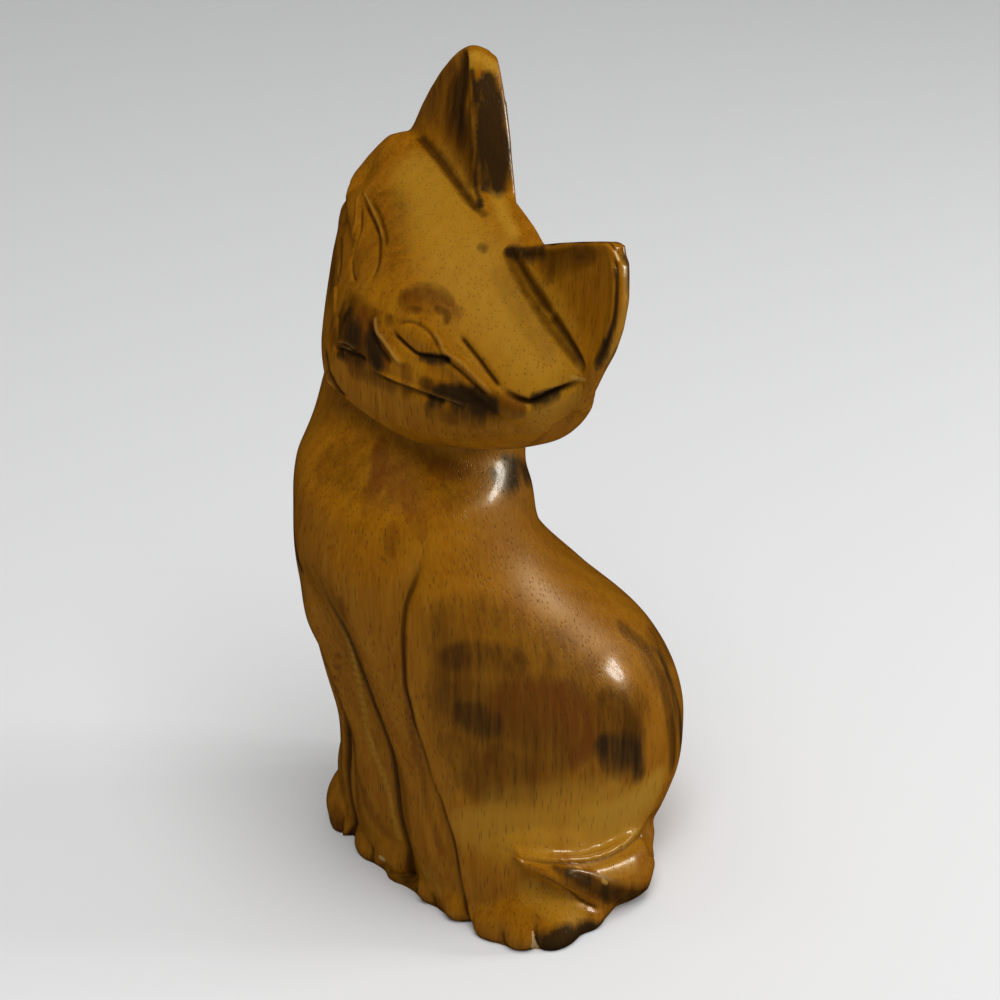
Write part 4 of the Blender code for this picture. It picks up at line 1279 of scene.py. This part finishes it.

# %% [markdown]
# ## Scorch, stain and painted light on the head
#
# The ears, the nose and the cheek were held in the flame. A black band runs down the front edge
# of the right ear and its inner face is scorched brown, while its cap stays golden. The left ear
# has a black line along its rim. Brown and red marks lie round the eyes. Painted shade lies in
# the creases at the feet of both ears, along the forehead's edge and in the slot under the left
# eye. The forehead, which faces up into the light, is painted paler, the left ear's rim has a
# painted sheen, and painted highlights sit on the ridge crests, beside the cheek crease, on the
# mouth and along the chin.

# %% Colour the head
HEAD_MARKS = (
    # painted light: the forehead, which faces up into the light, is made paler
    ("pale", 0.75, (420, 170, 26), (446, 220, 36), (478, 280, 38), (520, 330, 36), (548, 366, 26)),
    (
        "scorch_and_shade", 1.0, (489, 80, 8), (491, 94, 12), (492, 112, 15), (494, 134, 17), (496, 156, 17),
        (497, 174, 12),
    ),
    (
        "scorch_and_shade", 0.9, (481, 84, 6), (481, 104, 8), (482, 126, 8), (484, 148, 8), (485, 170, 8),
        (486, 188, 6),
    ),
    (
        "scorch_and_shade", 0.62, (463, 58, 8), (461, 72, 12), (456, 90, 15), (454, 108, 15), (466, 126, 10),
        (473, 150, 6),
    ),
    ("umber_and_shade", 0.7, (452, 84, 12), (446, 102, 14), (454, 124, 13), (466, 150, 10), (472, 180, 7)),
    ("scorch_and_shade", 0.9, (472, 72, 3), (476, 100, 3), (478, 150, 3), (476, 180, 3), (481, 205, 3)),
    ("scorch_and_shade", 0.6, (483, 247, 5)),
    ("scorch_and_shade", 1.0, (512, 250, 5), (526, 250, 6), (541, 249, 6)),
    ("scorch_and_shade", 0.9, (552, 244, 4), (562, 243, 4), (572, 242, 4), (582, 242, 3.5), (592, 242, 3)),
    ("umber_and_shade", 0.8, (546, 262, 9), (556, 256, 9), (572, 252, 8), (588, 250, 6)),
    # painted shade: the crease at the foot of the left ear, and the forehead's edge falling into it
    ("umber_and_shade", 0.8, (515, 258, 5), (522, 269, 5), (530, 281, 5), (538, 293, 5), (546, 305, 5)),
    ("umber_and_shade", 0.8, (554, 318, 5), (562, 331, 5), (569, 343, 5), (576, 354, 4), (582, 364, 3)),
    ("umber_and_shade", 0.22, (502, 276, 12), (516, 300, 12), (532, 326, 12), (548, 352, 10)),
    ("umber_and_shade", 0.24, (372, 200, 18), (390, 206, 22), (388, 232, 22), (392, 260, 20)),
    ("scorch_and_shade", 0.7, (616, 270, 2), (617, 290, 2), (615, 316, 2.5), (609, 336, 3), (597, 368, 2)),
    ("scorch_and_shade", 0.8, (604, 242, 2), (616, 244, 2.5), (625, 250, 2.5)),
    ("scorch_and_shade", 0.9, (604, 343, 5), (601, 352, 6), (598, 361, 5)),
    ("scorch_and_shade", 0.9, (372, 338, 8), (375, 350, 8), (378, 361, 6)),
    ("scorch_and_shade", 0.8, (348, 316, 8), (352, 326, 10), (350, 338, 9)),
    ("umber_and_shade", 1.0, (342, 318, 12), (346, 332, 13), (358, 338, 13), (370, 346, 11), (380, 356, 9)),
    ("russet_and_shade", 0.8, (362, 316, 8), (370, 328, 9), (382, 342, 7), (384, 356, 6)),
    ("umber_and_shade", 0.7, (350, 300, 8), (360, 308, 9), (372, 318, 8)),
    ("umber_and_shade", 0.8, (389, 318, 4)),
    ("umber_and_shade", 0.9, (411, 307, 3), (418, 309, 3)),
    ("umber_and_shade", 0.9, (438, 308, 3), (446, 312, 3.5), (447, 320, 3)),
    # painted shade: the slot under the left eye's lower lid
    ("scorch_and_shade", 0.9, (421, 355, 3), (434, 357, 3.5), (448, 358, 3)),
    ("scorch_and_shade", 0.9, (432, 399, 5), (440, 399, 4)),
    ("scorch_and_shade", 1.0, (455, 395, 6), (467, 398, 9), (480, 401, 9), (492, 405, 6)),
    ("scorch_and_shade", 1.0, (536, 398, 5), (547, 395, 5), (559, 391, 4)),
    ("scorch_and_shade", 0.6, (338, 353, 3), (350, 356, 4), (362, 360, 4)),
    ("scorch_and_shade", 0.55, (326, 352, 3), (330, 376, 3), (340, 393, 3)),
    ("umber_and_shade", 0.75, (460, 66, 7), (459, 84, 9), (456, 104, 9)),
    # painted shade: the shadowed feet of both ears
    ("umber_and_shade", 0.8, (420, 138, 4), (440, 160, 5), (456, 181, 5), (470, 200, 5), (484, 214, 4)),
    (
        "umber_and_shade", 0.85, (508, 252, 4), (516, 272, 5), (527, 292, 5), (540, 312, 5), (555, 332, 5),
        (570, 350, 4), (583, 366, 3),
    ),
    ("umber_and_shade", 0.55, (406, 297, 7), (420, 292, 8), (437, 293, 7), (449, 300, 5)),
    ("russet_and_shade", 0.6, (408, 300, 8), (424, 298, 9), (440, 302, 8)),
    ("umber_and_shade", 0.7, (405, 388, 6)),
    ("umber_and_shade", 0.45, (430, 408, 6), (455, 411, 7), (480, 413, 7), (505, 411, 6), (521, 408, 5)),
    (
        "umber_and_shade", 0.9, (424, 382, 5), (436, 388, 6), (452, 390, 7), (474, 393, 7), (492, 400, 7),
        (506, 406, 5),
    ),
    ("scorch_and_shade", 0.9, (436, 390, 4), (447, 390, 5), (460, 392, 6), (474, 394, 6)),
    ("umber_and_shade", 0.8, (344, 304, 5), (340, 320, 6), (338, 334, 5)),
    ("umber_and_shade", 0.6, (352, 366, 5), (372, 374, 5), (392, 384, 5)),
    ("russet_and_shade", 0.9, (364, 324, 6), (368, 334, 7)),
    ("russet_and_shade", 0.9, (405, 368, 5), (407, 376, 5)),
    ("russet_and_shade", 0.8, (508, 398, 6), (518, 406, 5)),
    ("russet_and_shade", 0.6, (440, 300, 6), (456, 312, 6)),
    ("russet_and_shade", 0.6, (534, 255, 5), (540, 262, 5)),
    ("russet_and_shade", 0.5, (332, 322, 5), (333, 340, 5)),
    ("pale", 0.9, (470, 60, 6), (480, 56, 7), (492, 66, 6)),
    ("pale", 0.8, (496, 196, 8), (504, 214, 9), (512, 232, 7)),
    # painted sheen: the left ear's rim, which faces the light at the right, is made paler
    ("pale", 0.5, (623, 256, 4), (627, 285, 5), (625, 312, 5), (618, 338, 5), (607, 360, 4)),
    # painted highlights beside the cheek crease, on the mouth ridge and along the chin
    ("rub", 0.8, (572, 376, 2), (578, 378, 2), (585, 379, 1.5)),
    ("rub", 0.6, (338, 345, 2), (350, 349, 2)),
    ("rub", 0.6, (325, 366, 2), (327, 384, 2)),
    ("bare", 0.75, (617, 252, 2), (619, 258, 2)),
)
HIDDEN_HEAD_MARKS = (
    ("scorch_and_shade", 0.9, (-16.0, 9.5, 31.0, 2.5), (-24.0, 10.0, 37.0, 4.0), (-32.0, 9.5, 42.0, 4.0)),
    ("scorch_and_shade", 0.8, (16.0, 9.8, 32.0, 2.5), (26.0, 9.8, 40.0, 3.5), (36.0, 8.5, 41.0, 3.0)),
    ("scorch_and_shade", 0.8, (39.0, 8.0, 18.0, 3.0), (41.0, 8.0, 24.0, 3.0)),
    ("umber_and_shade", 0.7, (-42.0, 5.0, 18.0, 3.0), (-41.0, 6.0, 28.0, 4.0), (-38.0, 6.0, 38.0, 4.0)),
    ("umber_and_shade", 0.6, (-14.0, 20.0, 8.0, 6.0), (4.0, 22.0, 4.0, 6.0), (20.0, 20.0, 6.0, 6.0)),
    ("umber_and_shade", 0.6, (-20.0, -24.0, -6.0, 3.0), (-28.0, -20.0, -3.0, 3.0), (-34.0, -14.0, 1.0, 3.0)),
    ("pale", 0.6, (-8.0, 20.0, -6.0, 7.0), (12.0, 20.0, -6.0, 7.0)),
)

paint(skin, HEAD_MARKS, HIDDEN_HEAD_MARKS)
print("whole height in mm:", store(skin))

# %% [markdown]
# ## Grain
#
# The grain of both blocks stands upright. Pores are short dark dashes along it, which turn into
# dots wherever the surface cuts across the fibres, as on the forehead. A texture that is
# squeezed across the grain and stretched along it gives both for free, because it is solid:
# every face cuts it as a saw would. Growth rings stand round an axis behind the block, so they
# show as upright bands on the chest and as arcs on the haunch. Each wood uses this group.

# %% Node helpers
def feed(tree, node, values):
    """Give each socket of a node a value, or link it to another node's socket."""
    for name, value in values.items():
        if isinstance(value, bpy.types.NodeSocket):
            tree.links.new(value, node.inputs[name])
        else:
            node.inputs[name].default_value = value


def add_node(tree, kind, values, **settings):
    node = tree.nodes.new(kind)
    for name, value in settings.items():
        setattr(node, name, value)
    feed(tree, node, values)
    return node


def maths(tree, operation, first, second, clamp=False):
    settings = {"operation": operation, "use_clamp": clamp}
    return add_node(tree, "ShaderNodeMath", {0: first, 1: second}, **settings).outputs[0]


def ramp(tree, value, low, high, most=1.0):
    """Soft step from 0 to the most while the value goes from low to high."""
    values = {"Value": value, "From Min": low, "From Max": high, "To Max": most}
    node = add_node(tree, "ShaderNodeMapRange", values, interpolation_type="SMOOTHSTEP")
    return node.outputs[0]


def blended(tree, share, first, second):
    """Colour that goes from the first to the second as the share goes from 0 to 1."""
    colours = {0: share, 6: first, 7: second}
    return add_node(tree, "ShaderNodeMix", colours, data_type="RGBA").outputs[2]


def stretched(tree, place, z, shift=(0.0, 0.0, 0.0)):
    """Coordinates drawn out along the grain by a factor of one over z."""
    values = {"Vector": place, "Location": shift, "Scale": (1.0, 1.0, z)}
    return add_node(tree, "ShaderNodeMapping", values).outputs["Vector"]


def noise(tree, place, cloudy):
    """Cloudy pattern, drawn out along the grain."""
    values = {"Scale": cloudy.scale, "Detail": cloudy.detail, "Roughness": cloudy.roughness}
    values["Vector"] = stretched(tree, place, cloudy.stretch)
    return add_node(tree, "ShaderNodeTexNoise", values).outputs["Fac"]


def on_object(tree):
    return add_node(tree, "ShaderNodeTexCoord", {}).outputs["Object"]


def new_group(name, inputs, outputs):
    """Shader node group with named numbers as its inputs and outputs."""
    tree = bpy.data.node_groups.new(name, "ShaderNodeTree")
    for label, value in inputs.items():
        socket = tree.interface.new_socket(label, in_out="INPUT", socket_type="NodeSocketFloat")
        socket.default_value = value
    for label in outputs:
        tree.interface.new_socket(label, in_out="OUTPUT", socket_type="NodeSocketFloat")
    return tree, tree.nodes.new("NodeGroupInput").outputs, tree.nodes.new("NodeGroupOutput")


print("textures read Object coordinates, in metres")

# %% Upright grain
PORE_SCALE, PORE_STRETCH, PORE_RELIEF = 1500.0, 0.11, 0.6
PORE_CORE, PORE_EDGE = 0.1, 0.36
Cloudy = namedtuple("Cloudy", "stretch scale detail roughness")
FIBRE, FIBRE_RELIEF = Cloudy(0.04, 1400.0, 3.0, 0.6), 0.4
STREAKS = Cloudy(0.07, 420.0, 4.0, 0.65)
RING_AXIS, RING_STRETCH = (0.1, 0.02, 0.0), 0.12
RINGS = {"Scale": 70.0, "Distortion": 5.0, "Detail": 3.0, "Detail Scale": 0.6}


def make_grain():
    tree, given, result = new_group(
        "Upright grain",
        {"Pore size": 1.0, "Pore share": 0.5},
        ("Pores", "Fibre", "Streaks", "Figure", "Height"),
    )
    place = on_object(tree)
    values = {"Vector": stretched(tree, place, PORE_STRETCH), "Scale": PORE_SCALE}
    cells = add_node(tree, "ShaderNodeTexVoronoi", values, feature="F1")
    wide = maths(tree, "MULTIPLY", given["Pore size"], PORE_EDGE)
    between_pores = ramp(tree, cells.outputs["Distance"], PORE_CORE, wide)
    dash = maths(tree, "SUBTRACT", 1.0, between_pores)
    lot = add_node(tree, "ShaderNodeSeparateColor", {0: cells.outputs["Color"]}).outputs[0]
    pores = maths(tree, "MULTIPLY", dash, maths(tree, "LESS_THAN", lot, given["Pore share"]))
    fibre, streaks = noise(tree, place, FIBRE), noise(tree, place, STREAKS)
    values = {"Vector": stretched(tree, place, RING_STRETCH, RING_AXIS), **RINGS}
    shape = {"wave_type": "RINGS", "rings_direction": "Z", "wave_profile": "SIN"}
    rings = add_node(tree, "ShaderNodeTexWave", values, **shape)
    raised = maths(tree, "MULTIPLY", fibre, FIBRE_RELIEF)
    height = maths(tree, "SUBTRACT", raised, maths(tree, "MULTIPLY", pores, PORE_RELIEF))
    made = {"Pores": pores, "Fibre": fibre, "Streaks": streaks, "Figure": rings.outputs["Fac"]}
    feed(tree, result, {**made, "Height": height})
    print("grain group nodes:", len(tree.nodes))
    return tree


GRAIN = make_grain()

# %% [markdown]
# ## Marks with fibrous edges
#
# A flame burns fibres unevenly, so the edge of a scorch is a comb of upright streaks. The group
# takes one of the soft clouds stored on the mesh, adds the grain's streaks and hardens the sum.

# %% Fibrous edge
MIDDLE, THRESHOLD = 0.5, 0.45
GATE_SHUT, GATE_OPEN = 0.02, 0.25


def make_edge():
    tree, given, result = new_group(
        "Fibrous edge",
        {"Cloud": 0.0, "Streaks": 0.5, "Amount": 0.6, "Hardness": 2.5},
        ("Mask",),
    )
    streak = maths(tree, "SUBTRACT", given["Streaks"], MIDDLE)
    streak = maths(tree, "MULTIPLY", streak, given["Amount"])
    total = maths(tree, "SUBTRACT", maths(tree, "ADD", given["Cloud"], streak), THRESHOLD)
    hardened = maths(tree, "MULTIPLY", total, given["Hardness"])
    mask = maths(tree, "ADD", hardened, MIDDLE, clamp=True)
    gate = ramp(tree, given["Cloud"], GATE_SHUT, GATE_OPEN)
    feed(tree, result, {"Mask": maths(tree, "MULTIPLY", mask, gate)})
    print("edge group nodes:", len(tree.nodes))
    return tree


EDGE = make_edge()

# %% [markdown]
# ## Varnished wood
#
# The stain is golden brown, a little deeper along the growth rings. Marks go on in the carver's
# order, with the painted light among them: pale wood and painted sheen, brown stain and painted
# shade, red stain and painted shade, painted shade in the grooves, scorch and painted shade, and
# last the painted highlights and the bare chips. Two gloss layers make the finish: the stained
# wood's own warm shine and a thin clear coat over it.

# %% Colours and finish
GOLD = (0.255, 0.090, 0.0010, 1)
DEEP_GOLD = (0.165, 0.048, 0.0005, 1)
LIGHT_GOLD = (0.35, 0.155, 0.005, 1)
# pale wood, also used for painted sheen and painted highlights
PALE_WOOD_AND_SHEEN = (0.37, 0.185, 0.013, 1)
# brown stain, also used for painted shade
UMBER_AND_SHADE = (0.055, 0.018, 0.0010, 1)
# red stain, also used for painted shade
RUSSET_AND_SHADE = (0.105, 0.026, 0.0014, 1)
PORE = (0.045, 0.017, 0.002, 1)
# painted shade in the grooves
GROOVE_SHADE = (0.034, 0.0115, 0.0016, 1)
# char of the scorch, also used for painted shade
CHAR_AND_SHADE = (0.023, 0.0115, 0.004, 1)
# painted highlight on ridge crests and a few spots
PAINTED_HIGHLIGHT = (0.46, 0.25, 0.045, 1)
BARE_CHIP = (0.5, 0.33, 0.14, 1)
SHINE_TINT = (1.0, 0.72, 0.3, 1)
FINISH = {"Specular IOR Level": 0.35, "Coat Weight": 0.22, "Coat Roughness": 0.13}
SMOOTHEST, FIBRE_ROUGHNESS = 0.24, 0.2
BUMP_HEIGHT, PORE_COVER = 0.0003, 0.5


def new_material(name, values):
    """Material with its shader, and the shader's own values set."""
    material = bpy.data.materials.new(name)
    material.use_nodes = True
    shader = material.node_tree.nodes["Principled BSDF"]
    feed(material.node_tree, shader, values)
    return material, material.node_tree, shader


def grain_of(tree, size, share):
    values = {"Pore size": size, "Pore share": share}
    return add_node(tree, "ShaderNodeGroup", values, node_tree=GRAIN).outputs


def raised_grain(tree, shader, height, strength):
    """Bump from the grain's height."""
    values = {"Strength": strength, "Distance": BUMP_HEIGHT, "Height": height}
    bump = add_node(tree, "ShaderNodeBump", values)
    feed(tree, shader, {"Normal": bump.outputs["Normal"]})


def marked(tree, name):
    return add_node(tree, "ShaderNodeAttribute", {}, attribute_name=name).outputs["Fac"]


print("colours of the varnished wood, pale to dark:", PALE_WOOD_AND_SHEEN[:3], GOLD[:3], CHAR_AND_SHADE[:3])


# %% Varnished wood
BLOTCH = Cloudy(0.45, 70.0, 4.0, 0.6)
GROOVE_SHADE_RAMP, HIGHLIGHT_RAMP = (0.05, 0.9, 0.92), (0.25, 1.0, 0.6)
Mark = namedtuple("Mark", "cloud streaky hardness cover tint")
# pale, brown and red marks, which also carry painted sheen and painted shade
STAINS_AND_PAINTED_LIGHT = (
    Mark("pale", 0.8, 1.0, 0.8, PALE_WOOD_AND_SHEEN),
    Mark("umber_and_shade", 1.3, 0.85, 0.9, UMBER_AND_SHADE),
    Mark("russet_and_shade", 1.3, 0.85, 0.8, RUSSET_AND_SHADE),
)
# scorch marks, which also carry painted shade
SCORCH_AND_SHADE = Mark("scorch_and_shade", 1.5, 1.1, 0.95, CHAR_AND_SHADE)
CHIP = Mark("bare", 0.5, 3.5, 0.9, BARE_CHIP)


def varnished_wood():
    material, tree, shader = new_material("varnished wood", {**FINISH, "Specular Tint": SHINE_TINT})
    grain = grain_of(tree, size=1.0, share=0.65)
    fibre, streaks, figure = grain["Fibre"], grain["Streaks"], grain["Figure"]
    blotch = noise(tree, on_object(tree), BLOTCH)

    def painted(colour, mark):
        """Colour with a mark over it whose edge is broken into fibres."""
        values = {"Cloud": marked(tree, mark.cloud), "Streaks": streaks}
        values.update({"Amount": mark.streaky, "Hardness": mark.hardness})
        mask = add_node(tree, "ShaderNodeGroup", values, node_tree=EDGE).outputs["Mask"]
        return blended(tree, maths(tree, "MULTIPLY", mask, mark.cover), colour, mark.tint)

    colour = GOLD
    for value, low, high, most, tint in (
        (figure, 0.1, 0.9, 0.3, DEEP_GOLD),
        (blotch, 0.45, 0.8, 0.5, DEEP_GOLD),
        (blotch, 0.5, 0.2, 0.4, LIGHT_GOLD),
        (streaks, 0.45, 0.75, 0.4, DEEP_GOLD),
        (fibre, 0.35, 0.75, 0.35, LIGHT_GOLD),
    ):
        colour = blended(tree, ramp(tree, value, low, high, most), colour, tint)
    for mark in STAINS_AND_PAINTED_LIGHT:
        colour = painted(colour, mark)
    colour = blended(tree, maths(tree, "MULTIPLY", grain["Pores"], PORE_COVER), colour, PORE)
    # painted shade in the grooves
    colour = blended(tree, ramp(tree, marked(tree, "groove"), *GROOVE_SHADE_RAMP), colour, GROOVE_SHADE)
    # scorch, with painted shade along the floor and under the left eye
    colour = painted(colour, SCORCH_AND_SHADE)
    # painted highlights on the ridge crests and a few spots
    colour = blended(tree, ramp(tree, marked(tree, "rub"), *HIGHLIGHT_RAMP), colour, PAINTED_HIGHLIGHT)
    colour = painted(colour, CHIP)
    rough = maths(tree, "ADD", maths(tree, "MULTIPLY", fibre, FIBRE_ROUGHNESS), SMOOTHEST)
    feed(tree, shader, {"Base Color": colour, "Roughness": rough})
    raised_grain(tree, shader, grain["Height"], strength=0.35)
    print("varnished wood nodes:", len(tree.nodes))
    return material


VARNISHED = varnished_wood()

# %% [markdown]
# ## Bare wood
#
# The pin is turned from plain wood and never sees stain or varnish. It uses the same grain group
# with fewer and smaller pores, and a dull surface.

# %% Bare wood of the pin
PIN_WOOD, PIN_FIBRE, PIN_PORE = (0.42, 0.26, 0.12, 1), (0.6, 0.42, 0.22, 1), (0.2, 0.1, 0.04, 1)


def bare_wood():
    material, tree, shader = new_material("bare wood", {"Roughness": 0.7})
    grain = grain_of(tree, size=0.8, share=0.4)
    colour = blended(tree, grain["Fibre"], PIN_WOOD, PIN_FIBRE)
    colour = blended(tree, maths(tree, "MULTIPLY", grain["Pores"], PORE_COVER), colour, PIN_PORE)
    feed(tree, shader, {"Base Color": colour})
    raised_grain(tree, shader, grain["Height"], strength=0.3)
    print("bare wood nodes:", len(tree.nodes))
    return material


BARE = bare_wood()

# %% [markdown]
# ## Into the model
#
# Each carved block takes the place of its plain solid. Faces that meet at more than the sharp
# angle keep a crisp edge, as at the floor and at the seam, and all others are shaded smooth. The
# pin stays the solid that it is and only gets its wood.

# %% Put the blocks in the model
SHARP_ANGLE = math.radians(50)

for item, node in ((body, "body"), (head, "head")):
    mesh = item.data
    mesh.materials.clear()
    mesh.materials.append(VARNISHED)
    mesh.polygons.foreach_set("material_index", [0] * len(mesh.polygons))
    mesh.shade_smooth()
    mesh.set_sharp_from_angle(angle=SHARP_ANGLE)
    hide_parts(node)
    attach(item, "root")
    print(item.name, "triangles:", sum(len(face.vertices) - 2 for face in mesh.polygons))
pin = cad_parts["neck_dowel"]
for slot in pin.material_slots:
    slot.material = BARE

# %% [markdown]
# ## Studio
#
# The photograph has a plain pale sweep and a broad soft light overhead. Two small softboxes to
# the right of the cat, side by side, draw the bright spots on the neck and the rump. The big
# light, the sweep and the world give no reflections of their own in the varnish.

# %% Sweep
PAPER = (0.74, 0.74, 0.74, 1)
SWEEP_FRONT, SWEEP_FLAT, SWEEP_BEND, SWEEP_TOP = -1600.0, 900.0, 600.0, 2400.0
SWEEP_HALF_WIDTH, SWEEP_STEPS = 2200.0, 24

away = Vector((-math.sin(AZIMUTH), math.cos(AZIMUTH), 0.0))
run = [(SWEEP_FRONT, 0.0)]
for turn in np.linspace(0, math.pi / 2, SWEEP_STEPS):
    run.append((SWEEP_FLAT + SWEEP_BEND * math.sin(turn), SWEEP_BEND * (1 - math.cos(turn))))
run.append((SWEEP_FLAT + SWEEP_BEND, SWEEP_TOP))
bm = bmesh.new()
columns = []
for forward, height in run:
    middle = away * forward + Vector((0.0, 0.0, height))
    ends = (middle - RIGHT * SWEEP_HALF_WIDTH, middle + RIGHT * SWEEP_HALF_WIDTH)
    columns.append([bm.verts.new(end * MM) for end in ends])
for (a, b), (c, d) in zip(columns[:-1], columns[1:]):
    bm.faces.new((a, b, d, c))
sweep = put("sweep", new_mesh(bm, "sweep"))
sweep.data.shade_smooth()
dull = {"Base Color": PAPER, "Roughness": 0.95, "Specular IOR Level": 0.05}
paper, _, _ = new_material("paper", dull)
sweep.data.materials.append(paper)
sweep.visible_glossy = False
print("sweep faces:", len(sweep.data.polygons))

# %% Lights
WORLD_COLOUR, WORLD_STRENGTH = (0.98, 0.99, 1.0, 1), 0.3
Softbox = namedtuple("Softbox", "name direction distance size power")
OVERHEAD = Softbox("overhead", (0.30, -0.20, 1.0), 1.3, 1.0, 15.5)
SIDE_BOX = Softbox("side box", (0.60, 0.76, 0.22), 1.0, 0.15, 3.0)
LOW_BOX = Softbox("low box", (0.47, 0.865, 0.18), 1.0, 0.13, 1.8)


def light_up(box):
    """Square light that looks at the cat; distance and size are in metres, power in watts."""
    light = bpy.data.lights.new(box.name, "AREA")
    light.shape = "SQUARE"
    light.size = box.size
    light.energy = box.power
    item = bpy.data.objects.new(box.name, light)
    bpy.context.scene.collection.objects.link(item)
    direction = Vector(box.direction).normalized()
    item.location = AIM * MM + direction * box.distance
    item.rotation_euler = direction.to_track_quat("Z", "Y").to_euler()
    print(box.name, "stands at", [round(value, 2) for value in item.location])
    return item


light_up(OVERHEAD).visible_glossy = False
light_up(SIDE_BOX)
light_up(LOW_BOX)
world = bpy.data.worlds.new("studio")
world.use_nodes = True
background = world.node_tree.nodes["Background"]
feed(world.node_tree, background, {"Color": WORLD_COLOUR, "Strength": WORLD_STRENGTH})
bpy.context.scene.world = world
world.cycles_visibility.glossy = False
bpy.context.scene.view_settings.view_transform = "Standard"

# %% Camera
lens = bpy.data.cameras.new("camera")
lens.sensor_width = SENSOR
lens.lens = LENS
lens.clip_start = 0.01
camera = bpy.data.objects.new("camera", lens)
bpy.context.scene.collection.objects.link(camera)
place = Matrix((RIGHT, UP, BACK)).transposed().to_4x4()
place.translation = EYE * MM
camera.matrix_world = place
bpy.context.scene.camera = camera
print("camera in metres:", [round(value, 4) for value in camera.matrix_world.translation])
